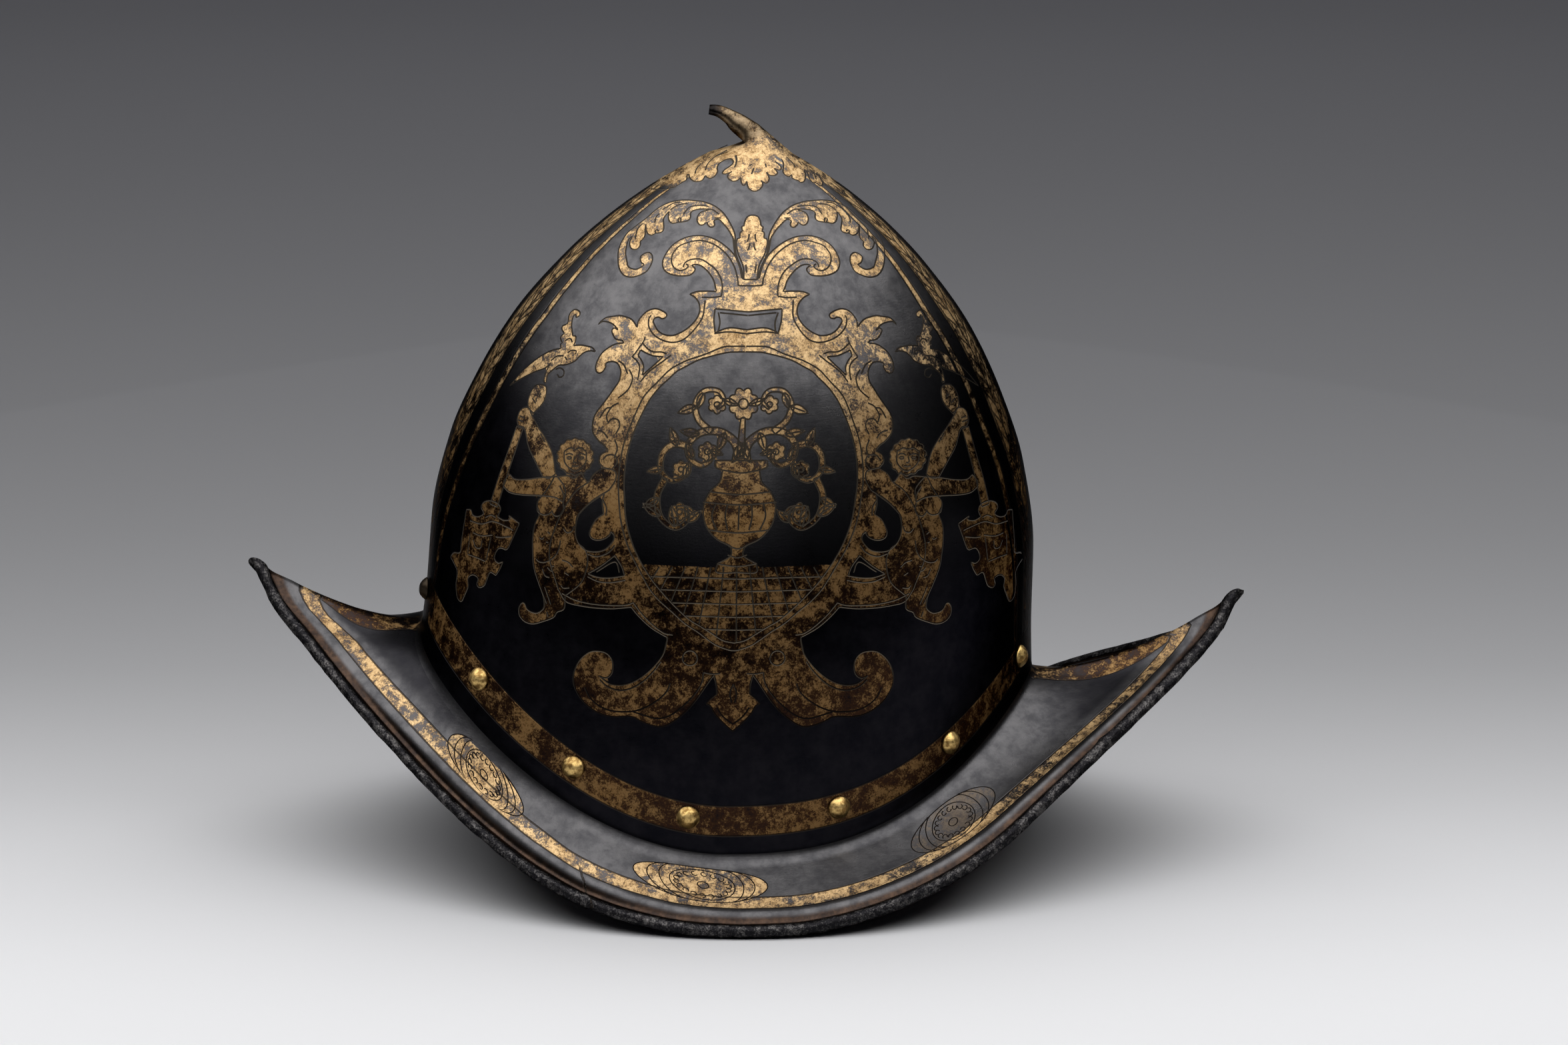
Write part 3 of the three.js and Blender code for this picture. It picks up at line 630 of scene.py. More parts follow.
TERM = joined(
    [35.3, 92.65, 38.6, 92.4, 40.4, 93, 42, 91.4], [43, 93.2, 43.9, 93.9, 45.2, 91.9, 47.6, 90.4],
    [50.4, 91.2, 50.6, 93.4, 49, 96], [45, 98.5, 41.4, 101.9, 40.7, 104.2, 40.6, 107, 41.4, 109.3,
    43, 110.9, 43.6, 114, 42, 119, 38, 122.4], [37.7, 125.6, 35.9, 126.5, 35, 127.8, 32.1, 128.9,
    29.9, 129.4, 28, 128.9, 26.7, 127.5, 26.4, 125.6, 27, 124.3, 27.8, 124.3, 28.6, 125.9, 30.2, 126.7,
    31.5, 126.5, 32.7, 125.2, 32.6, 122.7, 31.5, 119.5, 30.2, 115.3, 29.9, 111.5, 29.9, 107.7,
    30.4, 104.5, 31.5, 101.9, 31, 100, 31.2, 98.6, 32.3, 97.4], [34, 95, 35.3, 92.65],
)
ARMS = [
    joined(
        [36, 92.6, 32.1, 92.8, 28.3, 93.3, 25.4, 93.2, 24.1, 92], [22.8, 93.4, 22.5, 95], [24.1, 96.5,
        27, 97.1, 31.8, 97.35, 35.3, 97.8, 37.5, 99], [38, 95.6, 36, 92.6],
    ),
    joined(
        [26.6, 76.2, 27.5, 75.4, 28.9, 75.4, 29.5, 76.9, 31.2, 80.1, 33, 82.9, 34.8, 86.8, 35.6, 92],
        [34, 93, 32.4, 92.65], [29.9, 87.5, 28.7, 84.7, 27.8, 80.6, 26.3, 79.8, 26, 78, 26.6, 76.2],
    ),
    joined(
        [27.4, 80.6, 25.8, 80], [23.6, 86.4, 21.4, 92.4, 19.2, 99.4], [21, 100.2], [23.2, 93, 25.2, 87,
        27.4, 80.6],
    ),
    joined(
        [30, 76.8, 28.7, 75, 29, 72.4, 30.2, 70.2, 31.6, 69.5, 33.1, 70, 33.3, 71.6, 32.4, 74.2, 30, 76.8],
    ),
    joined(
        [24.1, 69.8, 27.5, 66, 31.2, 62.9, 34.5, 61.1, 37, 60.5], [36.8, 59.4, 37.3, 59.2, 36.8, 58,
        37.2, 57.2, 37.8, 56.8], [37.2, 55.8, 37.3, 54.9, 38.1, 54.6], [38.7, 54, 39.1, 51.9, 40.4, 50.8,
        41.6, 51.3, 41.6, 52.3, 40.7, 52.8], [40.6, 52, 39.9, 52.8, 39.6, 54.9, 39.9, 57.4], [40.7, 57.5,
        40.5, 58.9, 40, 59.8], [41.9, 59.7, 43.1, 59.9, 44.7, 60.3, 45.6, 61.4], [44.4, 61.1, 42.8, 61.5,
        41.6, 62.5, 40.4, 63.7, 38.2, 64.6, 36.4, 64.75, 34.8, 66, 33.6, 67.2, 33.2, 69.2], [32.6, 68.6,
        33.4, 66, 34.5, 64.1], [33, 65.4, 30.6, 66.3, 27.5, 67.8, 24.1, 69.8],
    ),
    joined(
        [13.3, 100.8, 14.4, 100.9, 14.9, 102.2, 16.2, 102.6, 17.6, 101.8, 17, 100.2, 17.6, 99, 19.2, 98.6,
        21.2, 99.4, 21.8, 100.8, 21, 102.6], [22.6, 103.5, 24.2, 103.3, 23.9, 102.3], [26.5, 104.3],
        [25.4, 106.7, 23.8, 110.2, 23.2, 110.9], [21.6, 110.4, 20.6, 111.5, 20.3, 113.1, 21.2, 114.2,
        22.4, 113.9], [21.6, 115.7, 20.6, 117.25], [19.2, 116.5, 18.4, 118.2, 17.7, 119.8, 16.5, 120.3,
        15.9, 119.4, 16.2, 118, 14.9, 117.1, 13.7, 117.9, 13.7, 120, 12.9, 122, 12, 123.8, 11, 122.7,
        10.7, 119.5, 11, 116.3, 10.1, 114], [9.4, 112.6, 10.2, 111.5], [11.7, 111.5, 12, 109, 12.6, 105.1,
        13.3, 100.8],
    ),
]
TERM_LINES = [
    [31, 100, 31.2, 101.4, 32.6, 102.2, 34, 101.9, 34.8, 101], [34.6, 101.2, 35.4, 102.4, 36.8, 102.2,
    37.6, 100.8, 37.5, 99.2], [30.8, 113.2, 31.5, 113.9, 33, 114, 35, 112.9, 36.3, 111, 36.8, 108.6],
    [37.6, 105.6, 38.4, 106.6, 39.6, 106.3, 40.2, 105], [37.2, 113.5, 38.8, 114.1, 39.9, 115.3],
    [37.9, 116.6, 38.9, 117.3], [37, 119.8, 37.6, 120.5, 39, 120.4], [32.3, 115.6, 33, 117.4, 34, 117.8],
    [33.6, 115.3, 34.4, 116.2, 34.9, 116.1], [34.2, 114.1, 34.6, 115, 35.2, 115], [33.6, 106.4,
    34.2, 107], [31.6, 107.8, 32.2, 108.3, 32.6, 107.8], [33.2, 108.9, 33.8, 109.1], [36.6, 95, 37.6, 97,
    37.5, 99], [26.6, 77.4, 27.8, 77.9], [26.2, 78.4, 27.5, 78.9], [29.8, 73, 30.6, 74.2, 30.8, 72.8],
    [31.2, 71.8, 31.8, 72.6, 31.8, 71.6], [15, 106.6, 17, 107.4, 19.8, 107.2], [14.2, 107, 13.6, 111.8],
    [19.4, 107.8, 18.2, 113.6], [13.6, 112, 16, 112.9, 18, 113.8], [15, 108.4, 15.6, 110.2, 16.8, 110.4,
    17.2, 108.6], [18, 102.8, 19.4, 102.2, 20.6, 102.8], [14.2, 103.6, 17, 104.4, 20, 103.8, 23.4, 105.2,
    25, 106], [20.6, 107.6, 22, 107.8, 24.4, 107.6], [33, 84, 31.8, 81.8], [38, 58.6, 39.2, 58, 39.8, 59],
    [38.6, 61.6, 39.6, 61, 40.8, 61.2, 40.4, 62], [34.4, 63.6, 36, 62.4, 37.6, 62.4], [37.9, 62.6,
    38.4, 63.4], [35.6, 65.8, 36.6, 65.4, 37.6, 66, 37.6, 67.2, 36.6, 67.8, 36, 67], [33.4, 126.4,
    33.8, 127.8], [31.9, 120.6, 33.4, 124.4], [32.9, 120.2, 34.4, 124.6],
]


def ring_line(column, row, wide, high, count=40, lobes=0, depth=0.0):
    """A closed oval, or one with lobes."""
    angle = np.arange(count + 1) / count * 2 * np.pi
    reach = 1 + depth * np.abs(np.sin(lobes * angle / 2))
    return np.stack([column + wide * reach * np.cos(angle), row + high * reach * np.sin(angle)], -1)


# A face's nose, lips, jaw and brow in shares of its reach
FACE_LINES = (
    (-0.02, 0, -0.1, 0.33, 0.08, 0.35),
    (-0.2, 0.55, 0, 0.58, 0.2, 0.55),
    (-0.66, -0.3, -0.6, 0.4, 0, 0.86, 0.6, 0.4, 0.66, -0.3),
    (-0.66, -0.3, -0.3, -0.52, 0, -0.42, 0.3, -0.52, 0.66, -0.3),
)


def calm_face(column, row, reach):
    """A plain face of even proportions: hair in lobes, brows, closed lips and quiet eyes."""
    hair = ring_line(column, row, reach, reach, 72, 14, 0.12)
    lines = []
    for side in (-1, 1):
        eye = side * 0.36
        lines.append(ring_line(column + eye * reach, row + 0.08 * reach, 0.15 * reach, 0.07 * reach, 12))
        brow = np.array([(eye - 0.22, -0.1), (eye, -0.19), (eye + 0.22, -0.1)])
        lines.append(smooth(brow * reach + (column, row)))
    for flat in FACE_LINES:
        lines.append(smooth(np.array(flat).reshape(-1, 2) * reach + (column, row)))
    return hair, lines


def vine(flat, start, end):
    """A closed stem that tapers along a curve."""
    line = smooth(flat, 10)
    heading = unit(np.gradient(line, axis=0))
    side = np.stack([-heading[:, 1], heading[:, 0]], -1)
    half = np.linspace(start, end, len(line))[:, None] / 2
    return np.concatenate([line + side * half, (line - side * half)[::-1]])


def leaf(column, row, length, angle, wide=0.42):
    """A pointed leaf from its foot, with its middle vein."""
    run = np.linspace(0, 1, 12)
    reach = wide * length / 2 * np.sin(np.pi * run ** 0.8)
    edge = np.stack([run * length, reach], -1)
    outline = np.concatenate([edge, (edge * (1, -1))[::-1]])
    turn = math.radians(angle)
    turned = np.array([[math.cos(turn), math.sin(turn)], [-math.sin(turn), math.cos(turn)]])
    vein = np.stack([run * length * 0.8, 0 * run], -1)
    return outline @ turned + (column, row), vein @ turned + (column, row)


def oval_picture():
    """The oval's own picture: an urn on a tiled floor, with vines, leaves and rosettes above it."""
    filled, lines = [], []
    urn = whole(joined(
        [81.9, 88.6, 75.6, 88.6], [75.6, 90.2, 77.4, 91], [76.6, 94, 74.2, 96.4, 72.6, 100, 73, 104.4,
        75.6, 108, 79.4, 110], [79.4, 112.4, 76, 114.4], [76, 116.6, 81, 116.6],
    ))
    filled.append(urn)
    for row, half in ((91, 4.6), (96.4, 7.8), (99, 9.2), (106, 7.6), (110, 2.2), (112.2, 2.4), (114.4, 5)):
        middle = float(middle_line(row))
        lines.append(smooth([middle - half, row, middle, row + 0.7, middle + half, row]))
    for shift in (-6, -3, 0, 3, 6):
        lines.append(smooth([81.6 + shift, 99.4, 81.4 + 1.12 * shift, 102.6, 81.3 + 0.9 * shift, 106]))
    half_vines = [
        vine([81.6, 88, 80.4, 84, 76.6, 81.4, 72, 81.6, 69, 84.4, 69.2, 88, 72, 89.8, 74.4, 88.4, 74, 86.2],
             2.2, 0.8),
        vine([74.6, 81.4, 71.4, 78.4, 70.6, 74.4, 72.8, 71.2, 76.4, 71.2, 77.8, 73.8, 76, 75.6], 1.6, 0.7),
        vine([69.6, 85.2, 65.4, 84.4, 62.4, 86.8, 62, 91, 64.6, 93.6, 67.6, 92.6, 68, 90.2], 1.8, 0.7),
        vine([63, 93, 61, 97.4, 61.8, 102.6, 65.4, 105.4, 68.4, 103.6, 68, 100.6, 65.8, 100.4], 1.6, 0.7),
    ]
    half_leaves = [  # foot, length and angle
        (81.4, 84, 6, 60), (78, 81.6, 5, 110), (71.6, 82, 5, 190), (66, 85, 5, 250), (70.8, 75, 5, 160),
        (72.6, 71.6, 4.4, 110), (62.6, 90.6, 4.4, 170), (61.4, 98, 4.6, 150), (61.8, 102.4, 5.4, 215),
        (65.4, 105.2, 5.4, 260), (77.6, 73.4, 4, 20), (70, 88.4, 4.4, 250), (74.4, 86, 3.4, 20),
        (67.8, 100, 3.6, 40), (67.8, 93, 4.4, 290), (68.6, 104, 4.6, 320),
    ]
    for shape in half_vines:
        filled += pair(shape)
    for spec in half_leaves:
        outline, vein = leaf(*spec)
        filled += pair(outline)
        lines += pair(vein)
    for column, row, reach in ((73.6, 86.4, 1.9), (76, 74.6, 1.8), (67, 90.8, 1.7), (66.6, 101.4, 1.8)):
        filled += pair(ring_line(column, row, reach, reach, 48, 6, 0.3))
        lines += pair(ring_line(column, row, 0.4 * reach, 0.4 * reach, 16))
    flower = ring_line(82.6, 74.4, 2.9, 3.2, 64, 8, 0.3)
    filled += [flower, vine([81.8, 88, 82.2, 82, 82.5, 78], 1.8, 1.1)]
    lines.append(ring_line(82.6, 74.4, 1.2, 1.3, 20))
    floor_line = np.array([[57.6, 114.6], [75.8, 115.4], [86.6, 115.4], [105.2, 114.6]])
    tiles = []
    for row in (118.2, 121.4, 124.6, 127.8, 131):
        tiles.append(np.array([[50.0, row - 0.9], [81, row], [112.0, row - 0.9]]))
    for foot in np.arange(34, 130, 5.2):  # joints that run towards the eye
        tiles.append(np.array([[81 + (foot - 81) * 0.62, 115.2], [foot, 134.6]]))
    return filled, lines, floor_line, tiles


def inside_of(points, outline):
    """True for points within a closed outline, by crossings of a line drawn to the right."""
    after = np.roll(outline, -1, axis=0)
    found = np.zeros(len(points), bool)
    for start in range(0, len(points), 4000):
        part = points[start : start + 4000, None]
        low, high = outline[None], after[None]
        spans = (low[..., 1] > part[..., 1]) != (high[..., 1] > part[..., 1])
        rise = np.where(high[..., 1] == low[..., 1], 1, high[..., 1] - low[..., 1])
        cut = low[..., 0] + (part[..., 1] - low[..., 1]) / rise * (high[..., 0] - low[..., 0])
        found[start : start + 4000] = (np.sum(spans & (part[..., 0] < cut), axis=1) % 2) == 1
    return found


def distance_in(points, outline):
    """Signed distance in millimetres, above 0 within a closed outline; worked out near it alone."""
    low, high = outline.min(0) - 4, outline.max(0) + 4
    near = np.all((points > low) & (points < high), axis=1)
    result = np.full(len(points), -4 * SQUARE)
    chosen = points[near]
    after = np.roll(outline, -1, axis=0)
    edge = after - outline
    squared = np.maximum((edge ** 2).sum(-1), 1e-12)
    least = np.empty(len(chosen))
    for start in range(0, len(chosen), 4000):
        away = chosen[start : start + 4000, None] - outline[None]
        share = np.clip((away * edge).sum(-1) / squared, 0, 1)
        gap = away - share[..., None] * edge
        least[start : start + 4000] = np.sqrt((gap ** 2).sum(-1).min(1))
    sign = np.where(inside_of(chosen, outline), 1, -1)
    result[near] = least * sign * SQUARE
    return result


def side_pattern():
    """All closed shapes, cut-outs and lines of one side, on the sheet."""
    frame_outline = whole(FRAME_HALF)
    oval, oval_outer = whole(OVAL_HALF), whole(OVAL_OUTER)
    hair, face_lines = calm_face(40.5, 87.6, 4.2)
    halves = [SPRAY, TERM, *ARMS, hair]
    shapes = [PALMETTE, BUD, frame_outline] + halves + [mirrored(shape) for shape in halves]
    holes = [WINDOW] + CUTOUTS + [mirrored(hole) for hole in CUTOUTS]
    half_lines = [smooth(line) for line in SPRAY_VEINS + BUD_VEINS + FRAME_LINES + TERM_LINES] + face_lines
    half_lines.append(ring_line(69.2, 138, 1.85, 1.85))
    lines = [smooth(line) for line in PALMETTE_VEINS] + half_lines + [mirrored(line) for line in half_lines]
    lines += [oval, oval_outer]
    filled, picture_lines, floor_line, tiles = oval_picture()
    return shapes, holes, lines, oval, filled, picture_lines, floor_line, tiles


def gilding_distance(sheet_points):
    """Signed distance of the side's gilding at points of the sheet."""
    shapes, holes, _, oval, filled, _, floor_line, _ = side_pattern()
    total = np.full(len(sheet_points), FAR)
    for shape in shapes:
        total = np.maximum(total, distance_in(sheet_points, shape))
    for hole in holes:
        total = np.minimum(total, -distance_in(sheet_points, hole))
    within = distance_in(sheet_points, oval)
    picture = (sheet_points[:, 1] - np.interp(sheet_points[:, 0], *floor_line.T)) * SQUARE
    for shape in filled:
        picture = np.maximum(picture, distance_in(sheet_points, shape))
    parted = np.maximum(np.minimum(total, -within), np.minimum(picture, within))
    return np.where(within > -2, parted, total)


def clipped(line, outline):
    """The stretches of a line that lie within an outline."""
    dense = spaced(line, max(int(run_along(line)[-1] / 0.3), 4))
    kept = inside_of(dense, outline)
    cuts = np.flatnonzero(np.diff(kept.astype(int))) + 1
    parts = zip(np.split(dense, cuts), np.split(kept, cuts))
    return [part for part, keep in parts if keep[0] and len(part) > 3]


def side_lines():
    """Every etched line of one side, closed outlines included."""
    shapes, holes, lines, oval, filled, picture_lines, floor_line, tiles = side_pattern()
    closed = [np.concatenate([shape, shape[:1]]) for shape in shapes + holes + filled]
    tiled = []
    urn = filled[0]
    for tile in tiles + [floor_line]:
        for part in clipped(tile, oval):
            if not inside_of(part[len(part) // 2][None], urn)[0]:
                tiled.append(part)
    return closed + lines + picture_lines + tiled


def off_sheet(sheet_points):
    """Bearing and height share on the crown of points of the sheet, found by Newton's method."""
    eye_share = (sheet_points[:, 0] - SHEET_MIDDLE[0]) / SHEET_SCALE
    x = SHEET_EYE[0] + eye_share * SIDE_AWAY
    z = SHEET_HEIGHT - LIFT + (SHEET_MIDDLE[1] - sheet_points[:, 1]) * SQUARE
    up = np.clip((z - 30) / (APEX_HEIGHT - 30), 0.02, 0.96)
    length = CROWN_LENGTH / 2 * read_table(CROWN_FORM[:, 0], CROWN_FORM[:, 1], up)
    bearing = -np.arccos(np.clip((x - CROWN_MIDDLE - APEX_FORWARD * up) / length, -0.97, 0.97))
    lift = np.array([0, 0, LIFT])
    for _ in range(14):
        here = on_sheet(crown_point(bearing, up) + lift)
        by_bearing = (on_sheet(crown_point(bearing + TINY, up) + lift) - here) / TINY
        by_up = (on_sheet(crown_point(bearing, up + TINY) + lift) - here) / TINY
        miss = sheet_points - here
        area = by_bearing[:, 0] * by_up[:, 1] - by_bearing[:, 1] * by_up[:, 0]
        area = np.where(np.abs(area) < 1, np.sign(area) + (area == 0), area)
        turn = (miss[:, 0] * by_up[:, 1] - miss[:, 1] * by_up[:, 0]) / area
        climb = (by_bearing[:, 0] * miss[:, 1] - by_bearing[:, 1] * miss[:, 0]) / area
        bearing = np.clip(bearing + np.clip(turn, -0.2, 0.2), -np.pi + 0.01, -0.01)
        up = np.clip(up + np.clip(climb, -0.1, 0.1), 0.005, 0.985)
    missed = np.linalg.norm(on_sheet(crown_point(bearing, up) + lift) - sheet_points, axis=1)
    return bearing, up, missed < 0.25


# A strip's middle stands proud of the surface, its edges are sunk and its root holds it, in millimetres
PROUD, SUNK, ROOT = 0.07, 0.03, 0.2


def ribbon(points, normal, wide):
    """A thin closed strip along a line on a surface, a flat lozenge in section."""
    heading = unit(np.gradient(points, axis=0))
    side = unit(np.cross(heading, normal)) * wide / 2
    left, right = points - side - SUNK * normal, points + side - SUNK * normal
    body = np.stack([left, points + PROUD * normal, right, points - ROOT * normal], 1).reshape(-1, 3)
    steep = side[:, 2] / (wide / 2)
    upper_edge = np.stack([-steep, 0 * steep, steep, 0 * steep], 1).ravel()
    count = len(points)
    place_on = np.arange(count - 1)[:, None] * 4
    turn = np.arange(4)
    after = (turn + 1) % 4
    quads = np.stack([place_on + turn, place_on + turn + 4, place_on + after + 4, place_on + after], -1)
    ends = np.array([[0, 1, 2, 3], [4 * count - 1, 4 * count - 2, 4 * count - 3, 4 * count - 4]])
    return body, np.concatenate([quads.reshape(-1, 4), ends]), upper_edge


def evenly(line, pitch):
    """A line with its points set a pitch apart."""
    return spaced(line, max(int(run_along(line)[-1] / pitch) + 1, 3))


def line_piece(name, parts, material):
    """All strips of one side in one mesh."""
    bodies, faces, base = [], [], 0
    for body, face, _ in parts:
        bodies.append(body)
        faces.append(face + base)
        base += len(body)
    points, quads = np.concatenate(bodies), np.concatenate(faces)
    corners = points[quads[: len(faces[0])]]
    volume = np.einsum("ij,ij->", corners[:, 0], np.cross(corners[:, 1], corners[:, 2]))
    volume += np.einsum("ij,ij->", corners[:, 0], np.cross(corners[:, 2], corners[:, 3]))
    if volume < 0:
        quads = quads[:, ::-1]
    made = new_object(name, points, quads.tolist(), False)
    add_attribute(made, "upper_edge", np.concatenate([edge for _, _, edge in parts]))
    dress(made, material, "helmet_shell")


# Pitch of the points of lines, in squares on the crown, and the lines' widths, in millimetres
CROWN_PITCH, CROWN_LINE_WIDTH = 0.42, 0.86
BRIM_PITCH, BRIM_LINE_WIDTH = 0.4, 0.62
# Shares of the crown's height, and the gap in millimetres that the bands beside the keel take up there
KEEL_GAP = ((0, 0.5, 0.9, 1), (26, 24, 16, 4))


def strip_on(side, points, normal, wide):
    """A strip along a line of the right side, on the right (-1) or mirrored to the left (1)."""
    flip = np.array([1, -side, 1.0])
    return ribbon(points * flip + (0, 0, LIFT), normal * flip, wide)


def crown_strips(side):
    """The crown's etched lines as strips, on one side."""
    lines = [evenly(line, CROWN_PITCH) for line in side_lines()]
    counts = np.cumsum([len(line) for line in lines])[:-1]
    bearing, up, found = off_sheet(np.concatenate(lines))
    surface = crown_point(bearing, up)
    normal = crown_normal(bearing, up)
    ridge_gap = np.interp(up, *KEEL_GAP)
    arc = np.abs(surface[:, 1])
    keep = found & ((arc > ridge_gap * 0.72) | (up > 0.86) & (arc > 3))
    parts = []
    for points, facing, kept in zip(*(np.split(values, counts) for values in (surface, normal, keep))):
        cuts = np.flatnonzero(np.diff(kept.astype(int))) + 1
        for some, faces, good in zip(*(np.split(values, cuts) for values in (points, facing, kept))):
            if good[0] and len(some) > 2:
                parts.append(strip_on(side, some, faces, CROWN_LINE_WIDTH))
    return parts


# Roundels on the brim, at bearings on the right side: half length and half width in millimetres
ROUNDELS = ((-95.7, 24.5, 8.2), (-139.5, 20.0, 8.6), (-44.5, 20.0, 8.6))
ROUNDEL_SHARE = 0.52  # share of the brim's plain field at which their middles lie
PETALS, LOOP_POINTS = 18, 14


def roundel_frame(degrees):
    """Middle of a roundel, and the millimetres that a turn and a share of the ray make there."""
    bearing = np.array([math.radians(degrees)])
    out = field_share(bearing, ROUNDEL_SHARE)
    here = brim_point(bearing, out)
    by_bearing = np.linalg.norm(brim_point(bearing + TINY, out) - here) / TINY
    by_out = np.linalg.norm(brim_point(bearing, out + TINY) - here) / TINY
    return float(bearing[0]), float(out[0]), by_bearing, by_out


def roundel_lines(long, wide):
    """A rosette of looped petals round a ring, in an oval with nested arcs at each end."""
    lines = [ring_line(0, 0, 2, 1.6, 24), ring_line(0, 0, 0.48 * long, 0.86 * wide, 60)]
    for petal in range(PETALS):
        turn = petal / PETALS * 2 * np.pi
        loop = ring_line(0.385 * long * math.cos(turn), 0.64 * wide * math.sin(turn), 1.0, 0.9, LOOP_POINTS)
        opening = petal * LOOP_POINTS // PETALS + 3
        lines.append(np.roll(loop[:-1], opening, axis=0)[:-3])
    angle = np.linspace(-1.35, 1.35, 30)
    for reach in (0.62, 0.8):
        for way in (-1, 1):
            along = way * (0.3 + (reach - 0.3) * np.cos(angle)) * long
            lines.append(np.stack([along, 0.95 * wide * np.sin(angle)], -1))
    lines.append(ring_line(0, 0, long, wide, 90))
    return lines


def brim_gilding():
    """Signed distance of the roundels' gilding over the brim's rows."""
    total = np.full(grid.shape[:2], FAR)
    from_rim = inwards[:OUTSIDE_ROWS, 0]
    for row in np.flatnonzero((from_rim < BRIM_BELOW) & (from_rim > 12)):
        out = 1 - inwards[row] * (1 - off_the_rim(ring, 1.0))
        for degrees, long, wide in ROUNDELS:
            bearing, middle, by_bearing, by_out = roundel_frame(degrees)
            for side in (1, -1):
                turned = (ring * side - bearing + np.pi) % (2 * np.pi) - np.pi
                along = turned * by_bearing / long
                across = (out - middle) * by_out / wide
                total[row] = np.maximum(total[row], (1 - np.hypot(along, across)) * wide)
    return total


def brim_strips(side):
    """The etched lines of the brim's roundels as strips, on one side."""
    parts = []
    for degrees, long, wide in ROUNDELS:
        bearing, middle, by_bearing, by_out = roundel_frame(degrees)
        for line in roundel_lines(long, wide):
            line = evenly(line, BRIM_PITCH)
            turned = bearing + line[:, 0] / by_bearing
            out = middle + line[:, 1] / by_out
            strip = strip_on(side, brim_point(turned, out), brim_normal(turned, out), BRIM_LINE_WIDTH)
            parts.append(strip)
    return parts


def with_poles(values, first, last):
    """Values of the grid in one row, with those of the two points that close the skin."""
    return np.concatenate([[first], values.reshape(-1), [last]])


points = np.concatenate([[stalk_bottom], grid.reshape(-1, 3), [inner_apex]]) + (0, 0, LIFT)
shell = new_object("helmet_shell_finished", points, closed_skin(len(grid), COLUMNS))
for name, values, first, last in (
    ("ridge", ridge, 0, 0),
    ("along", along, 0, 0),
    ("inward", inwards, STALK_MARK, CROWN_MARK),
    ("foot", foot, 250, 250),
    ("outside", outside, 1, 0),
):
    add_attribute(shell, name, with_poles(values, first, last))


class Value:
    """A number in a shader: arithmetic on it adds Math nodes."""

    tree = None

    def __init__(self, source):
        self.source = source

    @classmethod
    def node(cls, kind, settings=(), inputs=()):
        """Any node by its type, with its settings and inputs."""
        made = cls.tree.nodes.new(kind)
        for name, value in dict(settings).items():
            setattr(made, name, value)
        for name, value in dict(inputs).items():
            cls.feed(made.inputs[name], value)
        return made

    @classmethod
    def feed(cls, socket, value):
        if isinstance(value, Value):
            value = value.source
        if isinstance(value, bpy.types.NodeSocket):
            cls.tree.links.new(value, socket)
        else:
            socket.default_value = value

    @classmethod
    def maths(cls, operation, *values):
        made = cls.node("ShaderNodeMath", {"operation": operation}, enumerate(values))
        return cls(made.outputs[0])

    def __add__(self, other):
        return self.maths("ADD", self, other)

    def __radd__(self, other):
        return self.maths("ADD", other, self)

    def __sub__(self, other):
        return self.maths("SUBTRACT", self, other)

    def __rsub__(self, other):
        return self.maths("SUBTRACT", other, self)

    def __mul__(self, other):
        return self.maths("MULTIPLY", self, other)

    def __truediv__(self, other):
        return self.maths("DIVIDE", self, other)

    def step(self, low, high):
        """0 below low, 1 above high, smooth between them."""
        inputs = {"Value": self, "From Min": low, "From Max": high}
        made = self.node("ShaderNodeMapRange", {"interpolation_type": "SMOOTHSTEP"}, inputs)
        return Value(made.outputs["Result"])

    def band(self, low, high, soft=0.12):
        """1 between two distances."""
        return self.step(low - soft, low + soft) * (1 - self.step(high - soft, high + soft))

    def line(self, at, half, soft=0.1):
        """1 within half a width of a distance."""
        return 1 - self.maths("ABSOLUTE", self - at).step(half - soft, half + soft)

    def either(self, other):
        return self.maths("MAXIMUM", self, other)


def attribute(name):
    """One of the distances that a mesh carries at its points."""
    made = Value.node("ShaderNodeAttribute", {"attribute_name": name, "attribute_type": "GEOMETRY"})
    return Value(made.outputs["Fac"])


def place():
    """The object's own coordinates in metres."""
    return Value.node("ShaderNodeTexCoord").outputs["Object"]


def position():
    """The object's own coordinates in millimetres."""
    parts = Value.node("ShaderNodeSeparateXYZ", {}, {0: place()}).outputs
    return [Value(part) * 1000 for part in parts]


def noise(scale, detail=4.0, roughness=0.6, distortion=0.0, stretch=(1, 1, 1)):
    """Noise on the object's own coordinates, from about 0.2 to 0.8."""
    at = Value.node("ShaderNodeVectorMath", {"operation": "MULTIPLY"}, {0: place(), 1: stretch})
    inputs = {"Vector": at.outputs[0], "Scale": scale, "Detail": detail}
    inputs.update({"Roughness": roughness, "Distortion": distortion})
    return Value(Value.node("ShaderNodeTexNoise", {}, inputs).outputs["Fac"])


def mixed(share, low, high):
    """A colour between two colours."""
    made = Value.node("ShaderNodeMix", {"data_type": "RGBA"})
    Value.feed(made.inputs[0], share)
    for socket, colour in ((made.inputs[6], low), (made.inputs[7], high)):
        Value.feed(socket, (*colour, 1.0) if isinstance(colour, tuple) else colour)
    return made.outputs[2]


def new_material(name):
    """A material and its surface node; the values that follow go into its tree."""
    material = bpy.data.materials.new(name)
    material.use_nodes = True
    Value.tree = material.node_tree
    return material, material.node_tree.nodes["Principled BSDF"]


def bump(height, distance, strength, under=None):
    """A normal that follows a height, on top of another normal if there is one."""
    inputs = {"Height": height, "Distance": distance, "Strength": strength}
    made = Value.node("ShaderNodeBump", {}, inputs)
    if under is not None:
        Value.feed(made.inputs["Normal"], under)
    return made.outputs["Normal"]


